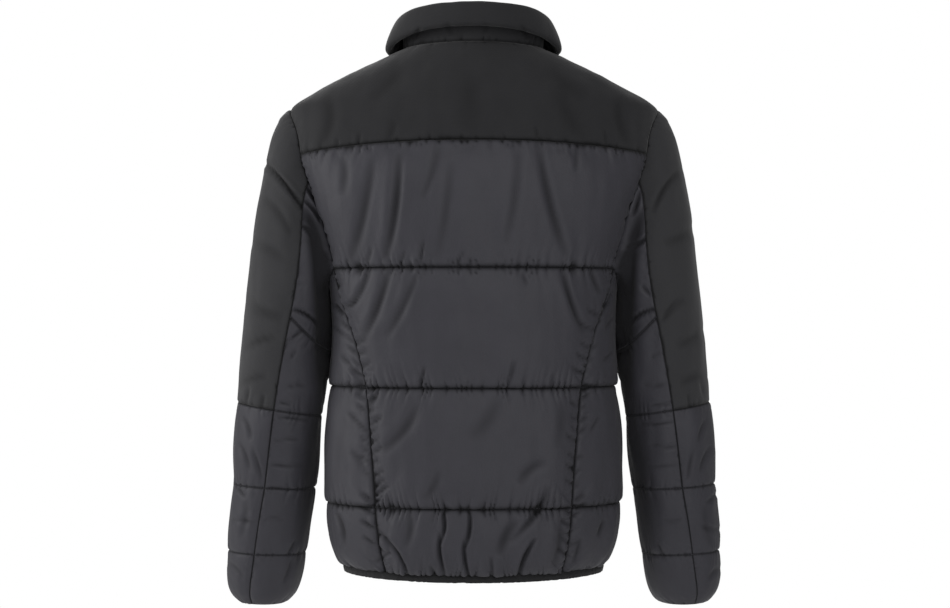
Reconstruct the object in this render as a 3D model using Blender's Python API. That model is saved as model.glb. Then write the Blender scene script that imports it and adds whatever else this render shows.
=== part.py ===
"""Padded jacket in its worn shape, with nobody in it.

Metres, +Z up. The wearer's front faces -Y and the wearer's left is +X. The origin is the middle of
the neck opening at shoulder height. Every cloth piece is a closed wall: its inner face is plain, and
its outer face is raised between the seams and quilting lines.
"""

import math
from collections import namedtuple

import bmesh
import bpy
from mathutils import Matrix, Vector

# cloth and seams
SEAM_GAP = 0.0003
SHELL_WALL = 0.003          # padded wall where it is stitched down
ARMHOLE_WALL = 0.003
MITRE_LIMIT = 2.0           # longest mitre at a folded seam, in wall thicknesses

# padding over the stitched wall, at the middle of a channel
BODY_PUFF = 0.0095
HEM_PUFF = 0.0070
YOKE_PUFF = 0.0040
SLEEVE_PUFF = 0.0045
UNDERARM_SQUEEZE = 0.35     # share of the padding left where the sleeve lies on the body
SQUEEZE_START = 5.1         # the level where the sleeve begins to press, and how fast it does
SQUEEZE_RUN = 0.6
HEM_GATHER = 0.0011
SWELL_POWER = 0.5           # below 1, a channel stands up steeply beside its stitching

# grid columns and the places of rows inside one quilted channel
BACK_COLUMNS = 24
SIDE_COLUMNS = 8
FRONT_COLUMNS = 10
CHANNEL_ROWS = (0.0, 0.1, 0.28, 0.5, 0.72, 0.9, 1.0)
QUILT_LEVELS = (0.0, 3.0, 5.0, 7.0, 9.0)
UNDERARM_LEVEL = 7.0
YOKE_LEVEL = 9.0
YOKE_ROWS = (9.0, 9.3, 9.6, 9.86, 10.0, 10.4, 10.8, 11.2, 11.6, 12.0)
TIP_ROW = 4                 # the yoke row at the shoulder tip
TIP_LEVEL = 10.0
TIP_ROUNDNESS = 4.0         # how squarely the armhole turns over its top
UNDERARM_DIP = 0.26         # how far the armhole dips below its level at the side, in levels

# front opening
FRONT_EDGE_X = 0.0085       # each front panel ends this far from the centre line
TAPE_SINK = 0.0012          # the tape lies this far under the seam line
TAPE_WALL = 0.0010
TAPE_CLEAR = 0.0006

TorsoRing = namedtuple(
    "TorsoRing",
    "name z_back z_side z_front half_width y_back y_front squareness back_edge front_edge",
)
# one row a level, hem to neck; back_edge and front_edge are the panels' side seams, in degrees
# from the centre back
TORSO_RINGS = (
    TorsoRing("hem seam", -0.656, -0.653, -0.656, 0.1635, 0.119, -0.129, 2.1, 40.0, 118.0),
    TorsoRing("hem tuck", -0.638, -0.637, -0.638, 0.1705, 0.127, -0.137, 2.2, 38.5, 117.0),
    TorsoRing("skirt", -0.610, -0.610, -0.610, 0.1780, 0.132, -0.142, 2.3, 37.7, 116.5),
    TorsoRing("low quilt line", -0.574, -0.574, -0.574, 0.1825, 0.134, -0.145, 2.3, 37.9, 116.0),
    TorsoRing("waist", -0.500, -0.500, -0.500, 0.1797, 0.131, -0.147, 2.3, 41.0, 115.0),
    TorsoRing("middle quilt line", -0.428, -0.428, -0.428, 0.1770, 0.130, -0.148, 2.3, 45.2, 114.5),
    TorsoRing("ribs", -0.355, -0.355, -0.355, 0.1765, 0.131, -0.148, 2.3, 55.5, 113.0),
    TorsoRing("top quilt line", -0.281, -0.281, -0.281, 0.1825, 0.133, -0.146, 2.3, 70.5, 110.5),
    TorsoRing("chest", -0.200, -0.203, -0.206, 0.2045, 0.132, -0.138, 2.3, 70.7, 113.0),
    TorsoRing("yoke seam", -0.126, -0.140, -0.160, 0.2275, 0.120, -0.120, 2.2, 71.2, 114.0),
    TorsoRing("shoulder tip", -0.067, -0.0785, -0.122, 0.2345, 0.099, -0.100, 2.0, 98.0, 98.0),
    TorsoRing("shoulder", -0.029, -0.0370, -0.103, 0.1560, 0.081, -0.086, 2.0, 98.0, 98.0),
    TorsoRing("neck seam", 0.000, -0.003, -0.085, 0.0880, 0.066, -0.075, 2.0, 98.0, 98.0),
)

Fold = namedtuple("Fold", "top_x top_z foot_x foot_z half_width depth")
# the largest troughs that the padding falls into, on the back
BACK_FOLDS = (
    Fold(0.120, -0.150, 0.150, -0.262, 0.017, 0.0026),
    Fold(0.058, -0.145, 0.070, -0.262, 0.016, 0.0022),
    Fold(-0.090, -0.160, -0.132, -0.262, 0.018, 0.0028),
    Fold(0.095, -0.300, 0.060, -0.410, 0.016, 0.0022),
    Fold(-0.020, -0.305, -0.062, -0.405, 0.016, 0.0020),
    Fold(-0.075, -0.300, -0.118, -0.400, 0.017, 0.0024),
    Fold(0.030, -0.445, 0.060, -0.560, 0.016, 0.0020),
    Fold(-0.060, -0.450, -0.085, -0.560, 0.017, 0.0024),
)

SleeveRing = namedtuple("SleeveRing", "name outer_x outer_z inner_x inner_z half_depth y_middle")
# sections of the wearer's left sleeve, armhole to cuff
SLEEVE_RINGS = (
    SleeveRing("armhole", 0.2335, -0.0785, 0.1810, -0.302, 0.057, -0.002),
    SleeveRing("cap", 0.2425, -0.0885, 0.1862, -0.311, 0.061, -0.002),
    SleeveRing("head", 0.2515, -0.108, 0.1872, -0.322, 0.064, -0.003),
    SleeveRing("upper arm", 0.2618, -0.152, 0.1862, -0.340, 0.067, -0.004),
    SleeveRing("biceps", 0.2735, -0.215, 0.1860, -0.362, 0.068, -0.006),
    SleeveRing("underarm line", 0.2825, -0.285, 0.1867, -0.386, 0.067, -0.009),
    SleeveRing("above elbow", 0.2915, -0.360, 0.1888, -0.415, 0.065, -0.013),
    SleeveRing("elbow seam", 0.3008, -0.4505, 0.1945, -0.468, 0.062, -0.018),
    SleeveRing("forearm", 0.3042, -0.504, 0.2000, -0.512, 0.060, -0.023),
    SleeveRing("upper quilt line", 0.3080, -0.555, 0.2045, -0.561, 0.057, -0.029),
    SleeveRing("lower arm", 0.3108, -0.599, 0.2130, -0.602, 0.055, -0.035),
    SleeveRing("lower quilt line", 0.3145, -0.642, 0.2165, -0.645, 0.052, -0.041),
    SleeveRing("wrist", 0.3145, -0.673, 0.2230, -0.675, 0.050, -0.046),
    SleeveRing("cuff bend", 0.3120, -0.694, 0.2295, -0.696, 0.046, -0.049),
    SleeveRing("cuff edge", 0.2985, -0.7095, 0.2430, -0.7105, 0.036, -0.050),
)
UPPER_ROWS = (0.0, 0.5, 1.0, 1.6, 2.3, 3.2, 4.2, 5.0, 6.0, 6.7, 7.0)
LOWER_ROWS = (7.35, 8.0, 8.65, 9.0, 9.35, 10.0, 10.65, 11.0, 11.5, 12.5, 13.3, 14.0)
SLEEVE_ROWS = UPPER_ROWS + LOWER_ROWS
OUTER_LINES = (0.0, 7.0, 9.0, 11.0, 14.0)
UNDER_LINES = (0.0, 5.0, 7.0, 9.0, 11.0, 14.0)
SETTLE_RINGS = 3.0          # the armhole's own outline fades out over these rings

# places round the armhole, counted from the foot of its back edge over the tip
BACK_SEAM = 4               # where the sleeve's back seam starts
ARMHOLE_TIP = len(CHANNEL_ROWS) - 1 + TIP_ROW
FRONT_FOOT = 2 * ARMHOLE_TIP
FRONT_SEAM = FRONT_FOOT - BACK_SEAM

SleeveSeam = namedtuple("SleeveSeam", "ring back front")
# where the two-piece sleeve is joined, in degrees from its outer edge
SLEEVE_SEAMS = (
    SleeveSeam(0.0, 100.0, -95.0),
    SleeveSeam(3.5, 103.0, -97.0),
    SleeveSeam(5.0, 98.0, -94.0),
    SleeveSeam(7.0, 88.0, -87.0),
    SleeveSeam(9.0, 83.0, -83.0),
    SleeveSeam(11.0, 76.0, -77.0),
    SleeveSeam(14.0, 66.0, -68.0),
)

CollarRow = namedtuple("CollarRow", "angle stand fall lean flare")
# the turned-down collar, from the centre back to each front end
COLLAR_ROWS = (
    CollarRow(0.0, 0.0475, 0.0295, 0.0040, 0.0040),
    CollarRow(35.0, 0.0465, 0.0310, 0.0040, 0.0055),
    CollarRow(60.0, 0.0430, 0.0350, 0.0035, 0.0070),
    CollarRow(90.0, 0.0345, 0.0375, 0.0035, 0.0110),
    CollarRow(130.0, 0.0310, 0.0310, 0.0030, 0.0080),
    CollarRow(180.0, 0.0290, 0.0310, 0.0030, 0.0080),
)
COLLAR_WALL = 0.0065
COLLAR_EDGE_PUFF = 0.0022
COLLAR_FOLD_RADIUS = 0.0052
COLLAR_STEPS = 3            # grid steps in the stand, in the fold and in the fall
COLLAR_SPREAD = 0.016       # how far each front end of the fall is turned aside

BINDING_HEIGHT = 0.0095
BINDING_PROUD = 0.0018
BINDING_WALL = 0.0058
BINDING_COLUMNS = 52

# zip slider and its pull tab
SLIDER_LEVEL = 11.45
SLIDER_PLATE = (0.0086, 0.0110, 0.0020)     # across, along the zip, thick
SLIDER_LIFT = 0.0001        # middle of the plate over the seam line
EAR_WALL = 0.0012
EAR_GAP = 0.0056            # clear width between the ears
EAR_SIZE = 0.0044
PIN_LIFT = 0.0041           # pin's middle over the seam line
PIN_RADIUS = 0.0009
TAB_WALL = 0.0016
TAB_WIDTH = 0.0046
TAB_LENGTH = 0.0260
TAB_HOLE_RADIUS = 0.0014
TAB_EYE_RADIUS = 0.0026
ROUND_SIDES = 12

# base colours
MATTE_CLOTH = (0.030, 0.030, 0.033)
SATIN_CLOTH = (0.060, 0.061, 0.068)
BINDING_CLOTH = (0.015, 0.015, 0.017)
TAPE_CLOTH = (0.018, 0.018, 0.020)
DARK_METAL = (0.080, 0.080, 0.085)


# ---------------------------------------------------------------- smooth tables
def smooth_value(keys, values, at):
    """A smooth curve through a table's rows that never swings past its values."""
    if at <= keys[0]:
        return values[0]
    if at >= keys[-1]:
        return values[-1]
    low = max(i for i in range(len(keys) - 1) if keys[i] <= at)
    slopes = [(values[i + 1] - values[i]) / (keys[i + 1] - keys[i]) for i in range(len(keys) - 1)]

    def tangent(i):
        if i == 0:
            return slopes[0]
        if i == len(slopes):
            return slopes[-1]
        before, after = slopes[i - 1], slopes[i]
        if before * after <= 0:
            return 0.0
        return 2 * before * after / (before + after)

    span = keys[low + 1] - keys[low]
    f = (at - keys[low]) / span
    return (
        (2 * f**3 - 3 * f**2 + 1) * values[low]
        + (f**3 - 2 * f**2 + f) * span * tangent(low)
        + (3 * f**2 - 2 * f**3) * values[low + 1]
        + (f**3 - f**2) * span * tangent(low + 1)
    )


def column(rows, field):
    return [getattr(row, field) for row in rows]


def ring_value(rows, field, level):
    return smooth_value(list(range(len(rows))), column(rows, field), level)


def torso_width(level):
    """Half the body's width: it grows up to the shoulder tip and turns there towards the neck."""
    widths = column(TORSO_RINGS, "half_width")
    tip = int(TIP_LEVEL)
    if level <= tip:
        return smooth_value(list(range(tip + 1)), widths[:tip + 1], level)
    return smooth_value(list(range(tip, len(widths))), widths[tip:], level)


def ease(f):
    f = min(1.0, max(0.0, f))
    return f * f * (3 - 2 * f)


def signed_power(value, power):
    return math.copysign(abs(value) ** power, value)


# ---------------------------------------------------------------- the body's form
def torso_point(angle, level):
    """A point of the stitched surface; angle is in degrees from the centre back towards +X."""
    turn = math.radians(angle)
    power = 2 / ring_value(TORSO_RINGS, "squareness", level)
    facing = math.cos(turn)
    side_z = ring_value(TORSO_RINGS, "z_side", level)
    end = "back" if facing > 0 else "front"
    end_z = ring_value(TORSO_RINGS, "z_" + end, level)
    depth = abs(ring_value(TORSO_RINGS, "y_" + end, level))
    return Vector((
        torso_width(level) * signed_power(math.sin(turn), power),
        depth * signed_power(facing, power),
        side_z + (end_z - side_z) * facing * facing,
    ))


def torso_normal(angle, level):
    low = max(0.0, level - 0.05)
    high = min(len(TORSO_RINGS) - 1.0, level + 0.05)
    around = torso_point(angle + 1.0, level) - torso_point(angle - 1.0, level)
    upward = torso_point(angle, high) - torso_point(angle, low)
    return upward.cross(around).normalized()


def angle_at_x(x, level):
    """The front angle of a line that keeps the distance x from the centre line."""
    width = torso_width(level)
    power = ring_value(TORSO_RINGS, "squareness", level) / 2
    return 180.0 - math.degrees(math.asin((x / width) ** power))


def front_edge_angle(level):
    return angle_at_x(FRONT_EDGE_X, level)


def channel_levels(low, high):
    return [low + (high - low) * f for f in CHANNEL_ROWS]


def stacked_levels(lines):
    levels = [lines[0]]
    for low, high in zip(lines, lines[1:]):
        levels += channel_levels(low, high)[1:]
    return levels


def channel_swell(level, lines):
    """0 on a quilting line and 1 at the middle of its channel."""
    for low, high in zip(lines, lines[1:]):
        if low <= level <= high:
            return math.sin(math.pi * (level - low) / (high - low)) ** SWELL_POWER
    return 0.0


def edge_swell(f, width=0.13, sharpness=0.5):
    """0 on a seam at f = 0 or 1, rising to 1 inside."""
    inside = min(f, 1.0 - f)
    return ease(max(0.0, inside) / width) ** sharpness


def panel_edge(side, level):
    """The angle of a panel's side edge: along the side seam, the armhole and the shoulder seam."""
    edge = ring_value(TORSO_RINGS, side + "_edge", min(level, YOKE_LEVEL))
    tip = ring_value(TORSO_RINGS, side + "_edge", TIP_LEVEL)
    rise = min(1.0, max(0.0, level - YOKE_LEVEL))
    return edge + (tip - edge) * rise**TIP_ROUNDNESS


def fold_depth(point):
    """How far the largest troughs pull the padding in at a point of the back."""
    depth = 0.0
    for fold in BACK_FOLDS:
        top = Vector((fold.top_x, 0, fold.top_z))
        foot = Vector((fold.foot_x, 0, fold.foot_z))
        run = foot - top
        along = (Vector((point.x, 0, point.z)) - top).dot(run) / run.length_squared
        if not 0.0 < along < 1.0:
            continue
        aside = (Vector((point.x, 0, point.z)) - top - run * along).length
        depth += fold.depth * math.sin(math.pi * along) * math.exp(-((aside / fold.half_width) ** 2))
    return depth


# ---------------------------------------------------------------- walls and seams
def mitre(normal_a, normal_b, wall):
    """From a seam's outer line to its inner line, between two pieces with these outward normals."""
    both = normal_a + normal_b
    if both.length < 0.2:
        both = both + Vector((0, 0, -0.2))
    both.normalize()
    stretch = min(MITRE_LIMIT, 1 / max(0.05, abs(both.dot(normal_a))))
    return both * (-wall * stretch)


def grid_edge(rows, columns):
    """(row, column) of every place round a grid's edge, in order."""
    edge = [(0, c) for c in range(columns - 1)]
    edge += [(r, columns - 1) for r in range(rows - 1)]
    edge += [(rows - 1, c) for c in range(columns - 1, 0, -1)]
    edge += [(r, 0) for r in range(rows - 1, 0, -1)]
    return edge


def part_at_seams(outer, inner):
    """Draw a grid's whole edge in by half the seam gap, square to the seam."""
    loop = grid_edge(len(outer), len(outer[0]))
    middle_row = len(outer) // 2
    middle_column = len(outer[0]) // 2

    def inward(a, b):
        (ra, ca), (rb, cb) = a, b
        edge = outer[rb][cb] - outer[ra][ca]
        wall = (inner[ra][ca] - outer[ra][ca]) + (inner[rb][cb] - outer[rb][cb])
        square = edge.cross(wall).normalized()
        step_r = (ra == rb) * (1 if ra < middle_row else -1)
        step_c = (ca == cb) * (1 if ca < middle_column else -1)
        inside = outer[ra + step_r][ca + step_c] - outer[ra][ca]
        return square if square.dot(inside) > 0 else -square

    shifts = []
    for i, spot in enumerate(loop):
        before = inward(loop[i - 1], spot)
        after = inward(spot, loop[(i + 1) % len(loop)])
        shifts.append((before + after) / max(0.35, 1 + before.dot(after)) * (SEAM_GAP / 2))
    for (r, c), shift in zip(loop, shifts):
        outer[r][c] = outer[r][c] + shift
        inner[r][c] = inner[r][c] + shift


def add_object(name, bm, material):
    mesh = bpy.data.meshes.new(name)
    bmesh.ops.recalc_face_normals(bm, faces=bm.faces)
    bm.to_mesh(mesh)
    bm.free()
    mesh.shade_smooth()
    mesh.set_sharp_from_angle(angle=math.radians(50))
    mesh.materials.append(material)
    obj = bpy.data.objects.new(name, mesh)
    bpy.context.scene.collection.objects.link(obj)
    return obj


def wall_object(name, outer, inner, material):
    """A closed wall between two grids of points."""
    rows = len(outer)
    columns = len(outer[0])
    bm = bmesh.new()
    out = [[bm.verts.new(p) for p in row] for row in outer]
    ins = [[bm.verts.new(p) for p in row] for row in inner]
    for r in range(rows - 1):
        for c in range(columns - 1):
            bm.faces.new((out[r][c], out[r][c + 1], out[r + 1][c + 1], out[r + 1][c]))
            bm.faces.new((ins[r][c], ins[r + 1][c], ins[r + 1][c + 1], ins[r][c + 1]))
    edge = [(out[r][c], ins[r][c]) for r, c in grid_edge(rows, columns)]
    for i, pair in enumerate(edge):
        add_rim(bm, pair, edge[i - 1])
    return add_object(name, bm, material)


def rim_order(vert):
    return vert.co.z + 0.31 * vert.co.y + 0.17 * abs(vert.co.x)


def add_rim(bm, one, other):
    """Close a wall's edge between two pairs, with the same diagonal on both sides of a seam."""
    if rim_order(one[0]) > rim_order(other[0]):
        one, other = other, one
    bm.faces.new((one[0], other[0], other[1]))
    bm.faces.new((one[0], other[1], one[1]))


def mirrored(points):
    return [[Vector((-p.x, p.y, p.z)) for p in row] for row in points]


def cloth_material(name, colour, roughness):
    material = bpy.data.materials.new(name)
    material.use_nodes = True
    shader = material.node_tree.nodes["Principled BSDF"]
    shader.inputs["Base Color"].default_value = (*colour, 1.0)
    shader.inputs["Roughness"].default_value = roughness
    shader.inputs["Metallic"].default_value = 0.0
    return material


def metal_material(name, colour, roughness):
    material = cloth_material(name, colour, roughness)
    material.node_tree.nodes["Principled BSDF"].inputs["Metallic"].default_value = 1.0
    return material


# ---------------------------------------------------------------- body panels
def torso_patch(spots, puff):
    """Outer and inner grids over (angle, level) spots; puff(r, c) is the padding's height."""
    outer, inner = [], []
    for r, row in enumerate(spots):
        outer_row, inner_row = [], []
        for c, (angle, level) in enumerate(row):
            base = torso_point(angle, level)
            normal = torso_normal(angle, level)
            outer_row.append(base + normal * puff(r, c))
            inner_row.append(base - normal * SHELL_WALL)
        outer.append(outer_row)
        inner.append(inner_row)
    return outer, inner


def set_edge(outer, inner, places, seam):
    """Lay grid places on a shared seam's outer and inner lines."""
    for (r, c), (outside, inside) in zip(places, seam):
        outer[r][c] = outside.copy()
        inner[r][c] = inside.copy()


def back_spots(levels):
    """(angle, level) places of a back piece, from its right edge to its left one."""
    spots = []
    for level in levels:
        edge = panel_edge("back", level)
        spots.append([(edge * (2 * c / BACK_COLUMNS - 1), level) for c in range(BACK_COLUMNS + 1)])
    return spots


def front_spots(levels):
    """(angle, level) places of a left front piece, from its side edge to the front opening."""
    spots = []
    for level in levels:
        edge = panel_edge("front", level)
        span = front_edge_angle(level) - edge
        spots.append([(edge + span * c / FRONT_COLUMNS, level) for c in range(FRONT_COLUMNS + 1)])
    return spots


def body_height(level, column, swell):
    """The padding over the stitched wall; the lowest channel is gathered by the hem."""
    if level > QUILT_LEVELS[1]:
        return BODY_PUFF * swell
    gather = HEM_GATHER if column % 2 else -HEM_GATHER
    return HEM_PUFF * swell + (gather * swell if level < QUILT_LEVELS[1] else 0.0)


def back_panel_grid(armhole):
    levels = stacked_levels(QUILT_LEVELS)
    spots = back_spots(levels)

    def puff(r, c):
        level = levels[r]
        swell = channel_swell(level, QUILT_LEVELS) * edge_swell(c / BACK_COLUMNS)
        trough = fold_depth(torso_point(*spots[r][c])) * swell
        return max(0.0, body_height(level, c, swell) - trough)

    outer, inner = torso_patch(spots, puff)
    first = levels.index(UNDERARM_LEVEL)
    rows = range(first, len(levels))
    set_edge(outer, inner, [(r, BACK_COLUMNS) for r in rows], armhole)
    set_edge(outer, inner, [(r, 0) for r in rows], [mirrored([pair])[0] for pair in armhole])
    return outer, inner


def underarm_dip(f):
    return UNDERARM_DIP * math.sin(math.pi * f)


def side_panel_grid(armhole):
    lines = [q for q in QUILT_LEVELS if q <= UNDERARM_LEVEL]
    levels = stacked_levels(lines)
    last = lines[-2]
    spots = []
    for level in levels:
        back = panel_edge("back", level)
        front = panel_edge("front", level)
        row = []
        for c in range(SIDE_COLUMNS + 1):
            f = c / SIDE_COLUMNS
            rise = max(0.0, (level - last) / (UNDERARM_LEVEL - last))
            row.append((back + (front - back) * f, level - underarm_dip(f) * rise))
        spots.append(row)

    def puff(r, c):
        level = levels[r]
        swell = channel_swell(level, lines) * edge_swell(c / SIDE_COLUMNS, 0.2)
        squeeze = 1 - (1 - UNDERARM_SQUEEZE) * ease((level - SQUEEZE_START) / SQUEEZE_RUN)
        return body_height(level, c, swell) * squeeze

    outer, inner = torso_patch(spots, puff)
    top = len(levels) - 1
    set_edge(outer, inner, [(top, c) for c in range(SIDE_COLUMNS + 1)], armhole)
    return outer, inner


def front_panel_grid(armhole):
    levels = stacked_levels(QUILT_LEVELS)
    spots = front_spots(levels)

    def puff(r, c):
        level = levels[r]
        swell = channel_swell(level, QUILT_LEVELS) * edge_swell(c / FRONT_COLUMNS)
        return body_height(level, c, swell)

    outer, inner = torso_patch(spots, puff)
    rows = range(levels.index(UNDERARM_LEVEL), len(levels))
    set_edge(outer, inner, [(r, 0) for r in rows], armhole)
    return outer, inner


def yoke_puff(across, up):
    return YOKE_PUFF * edge_swell(across, 0.2, 0.8) * edge_swell(up, 0.3, 0.8)


def back_yoke_grid(armhole, neck):
    spots = back_spots(YOKE_ROWS)

    def puff(r, c):
        return yoke_puff(c / BACK_COLUMNS, r / (len(YOKE_ROWS) - 1))

    outer, inner = torso_patch(spots, puff)
    rows = range(TIP_ROW + 1)
    set_edge(outer, inner, [(r, BACK_COLUMNS) for r in rows], armhole)
    set_edge(outer, inner, [(r, 0) for r in rows], [mirrored([pair])[0] for pair in armhole])
    set_edge(outer, inner, [(len(YOKE_ROWS) - 1, c) for c in range(BACK_COLUMNS + 1)], neck)
    return outer, inner


def front_yoke_grid(armhole, neck):
    spots = front_spots(YOKE_ROWS)

    def puff(r, c):
        return yoke_puff(c / FRONT_COLUMNS, r / (len(YOKE_ROWS) - 1))

    outer, inner = torso_patch(spots, puff)
    set_edge(outer, inner, [(r, 0) for r in range(TIP_ROW + 1)], armhole)
    set_edge(outer, inner, [(len(YOKE_ROWS) - 1, c) for c in range(FRONT_COLUMNS + 1)], neck)
    return outer, inner


# ---------------------------------------------------------------- sleeves
def armhole_spots():
    """(angle, level) round the left armhole, from the back seam's foot over the tip to the front."""
    spots = []
    for level in channel_levels(UNDERARM_LEVEL, YOKE_LEVEL)[:-1]:
        spots.append((panel_edge("back", level), level))
    for level in YOKE_ROWS[:TIP_ROW + 1]:
        spots.append((panel_edge("back", level), level))
    for level in reversed(YOKE_ROWS[:TIP_ROW]):
        spots.append((panel_edge("front", level), level))
    for level in reversed(channel_levels(UNDERARM_LEVEL, YOKE_LEVEL)[:-1]):
        spots.append((panel_edge("front", level), level))
    back = panel_edge("back", UNDERARM_LEVEL)
    front = panel_edge("front", UNDERARM_LEVEL)
    for c in range(SIDE_COLUMNS - 1, 0, -1):
        f = c / SIDE_COLUMNS
        spots.append((back + (front - back) * f, UNDERARM_LEVEL - underarm_dip(f)))
    return spots


def sleeve_axes(ring):
    """A section's middle, its half axis towards the outer edge, and its half depth along Y."""
    def value(field):
        return ring_value(SLEEVE_RINGS, field, ring)

    outer_edge = Vector((value("outer_x"), 0, value("outer_z")))
    inner_edge = Vector((value("inner_x"), 0, value("inner_z")))
    middle = (outer_edge + inner_edge) / 2
    middle.y = value("y_middle")
    return middle, (outer_edge - inner_edge) / 2, value("half_depth")


def sleeve_section_point(angle, ring):
    middle, reach, depth = sleeve_axes(ring)
    turn = math.radians(angle)
    return middle + reach * math.cos(turn) + Vector((0, depth * math.sin(turn), 0))


def seam_angle(side, ring):
    return smooth_value(column(SLEEVE_SEAMS, "ring"), column(SLEEVE_SEAMS, side), ring)


def armhole_angles(loop_points):
    """The angle of each armhole point round the sleeve; the under sleeve's run on past -180."""
    middle, reach, depth = sleeve_axes(0.0)
    angles = []
    for i, point in enumerate(loop_points):
        away = point - middle
        angle = math.degrees(math.atan2(away.y / depth, away.dot(reach) / reach.length_squared))
        under = not BACK_SEAM <= i <= FRONT_SEAM
        angles.append(angle - 360.0 if under and angle > 0 else angle)
    return angles


def settled_angle(i, count, ring):
    """The angle of a column where the columns are spread evenly between the sleeve's two seams."""
    back = seam_angle("back", ring)
    front = seam_angle("front", ring)
    outer_steps = FRONT_SEAM - BACK_SEAM
    if BACK_SEAM <= i <= FRONT_SEAM:
        return back + (front - back) * (i - BACK_SEAM) / outer_steps
    step = (i - FRONT_SEAM) % count
    return front + (back - 360.0 - front) * step / (count - outer_steps)


def sleeve_grid(loop_points):
    """Stitched-surface points, one row a section, one column for each armhole point."""
    angles = armhole_angles(loop_points)
    count = len(loop_points)
    rows = []
    for ring in SLEEVE_ROWS:
        settle = ease(ring / SETTLE_RINGS)
        row = []
        for i in range(count):
            angle = angles[i] + (settled_angle(i, count, ring) - angles[i]) * settle
            rest = loop_points[i] - sleeve_section_point(angles[i], 0.0)
            row.append(sleeve_section_point(angle, ring) + rest * (1 - settle))
        rows.append(row)
    return rows


def grid_normals(rows):
    """The outward normals of a tube's points."""
    count = len(rows[0])
    normals = []
    for r, row in enumerate(rows):
        after = rows[min(r + 1, len(rows) - 1)]
        before = rows[max(r - 1, 0)]
        line = []
        for i in range(count):
            around = row[(i + 1) % count] - row[(i - 1) % count]
            line.append(around.cross(after[i] - before[i]).normalized())
        normals.append(line)
    return normals


def sleeve_piece(rows, normals, seam_pairs, columns, first_row, last_row, lines):
    outer, inner = [], []
    for r in range(first_row, last_row + 1):
        outer_row, inner_row = [], []
        for k, i in enumerate(columns):
            swell = channel_swell(SLEEVE_ROWS[r], lines) * edge_swell(k / (len(columns) - 1), 0.16)
            base = rows[r][i]
            normal = normals[r][i]
            outer_row.append(base + normal * (SLEEVE_PUFF * swell))
            inner_row.append(base - normal * SHELL_WALL)
        if r == 0:
            outer_row = [seam_pairs[i][0].copy() for i in columns]
            inner_row = [seam_pairs[i][1].copy() for i in columns]
        outer.append(outer_row)
        inner.append(inner_row)
    return outer, inner


# ---------------------------------------------------------------- collar
def collar_value(field, angle):
    return smooth_value(column(COLLAR_ROWS, "angle"), column(COLLAR_ROWS, field), abs(angle))


def collar_section(angle):
    """The middle line of the turned-down collar and its normals, as (outward, up) pairs."""
    stand = collar_value("stand", angle)
    fall = collar_value("fall", angle)
    lean = collar_value("lean", angle)
    flare = collar_value("flare", angle)
    line = []
    for k in range(COLLAR_STEPS + 1):
        f = k / COLLAR_STEPS
        line.append((lean * f, (stand - COLLAR_FOLD_RADIUS) * f))
    for k in range(1, COLLAR_STEPS + 1):
        turn = math.pi * k / COLLAR_STEPS
        line.append((
            lean + COLLAR_FOLD_RADIUS * (1 - math.cos(turn)),
            stand - COLLAR_FOLD_RADIUS + COLLAR_FOLD_RADIUS * math.sin(turn),
        ))
    for k in range(1, COLLAR_STEPS + 1):
        f = k / COLLAR_STEPS
        line.append((
            lean + 2 * COLLAR_FOLD_RADIUS + flare * f,
            stand - COLLAR_FOLD_RADIUS - (fall - COLLAR_FOLD_RADIUS) * f,
        ))
    return line


def collar_grid(angles, neck_pairs):
    count = 3 * COLLAR_STEPS
    outer = [[] for _ in range(count + 1)]
    inner = [[] for _ in range(count + 1)]
    end_angle = abs(angles[-1])
    for angle, (seam_out, seam_in) in zip(angles, neck_pairs):
        turn = math.radians(angle)
        radial = Vector((math.sin(turn), math.cos(turn), 0))
        aside = Vector((math.cos(turn), -math.sin(turn), 0)) * (-1 if angle > 0 else 1)
        foot = (seam_out + seam_in) / 2
        line = collar_section(angle)
        near_end = ease((abs(angle) - (end_angle - 38.0)) / 38.0)
        for k, (out, up) in enumerate(line):
            before = line[max(0, k - 1)]
            after = line[min(len(line) - 1, k + 1)]
            run = Vector((after[0] - before[0], after[1] - before[1]))
            run.normalize()
            face = radial * run.y - Vector((0, 0, 1)) * run.x
            turned = max(0.0, (k - 2 * COLLAR_STEPS) / COLLAR_STEPS)
            centre = foot + radial * out + Vector((0, 0, up))
            centre += aside * (COLLAR_SPREAD * near_end * (k / count) ** 2)
            half = COLLAR_WALL / 2
            swell = COLLAR_EDGE_PUFF * math.sin(math.pi * min(1.0, turned * 0.85))
            outer[k].append(centre + face * half)
            inner[k].append(centre - face * (half + swell))
        outer[0][-1] = seam_out.copy()
        inner[0][-1] = seam_in.copy()
    return outer, inner


# ---------------------------------------------------------------- hem binding and zip
def hem_binding(material):
    """An elastic binding all round the hem, open at the centre front."""
    end = front_edge_angle(0.0)
    outer, inner = [[], [], []], [[], [], []]
    for c in range(BINDING_COLUMNS + 1):
        angle = end * (2 * c / BINDING_COLUMNS - 1)
        base = torso_point(angle, 0.0)
        flat = torso_normal(angle, 0.0)
        flat.z = 0
        flat.normalize()
        for r, (drop, proud) in enumerate(((0.0, 0.4), (0.5, 1.0), (1.0, 0.4))):
            middle = base - Vector((0, 0, SEAM_GAP / 2 + BINDING_HEIGHT * drop))
            outer[r].append(middle + flat * (BINDING_PROUD * proud))
            inner[r].append(middle + flat * (BINDING_PROUD - BINDING_WALL + 0.001 * (1 - proud)))
    return wall_object("hem_binding", outer, inner, material)


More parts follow.
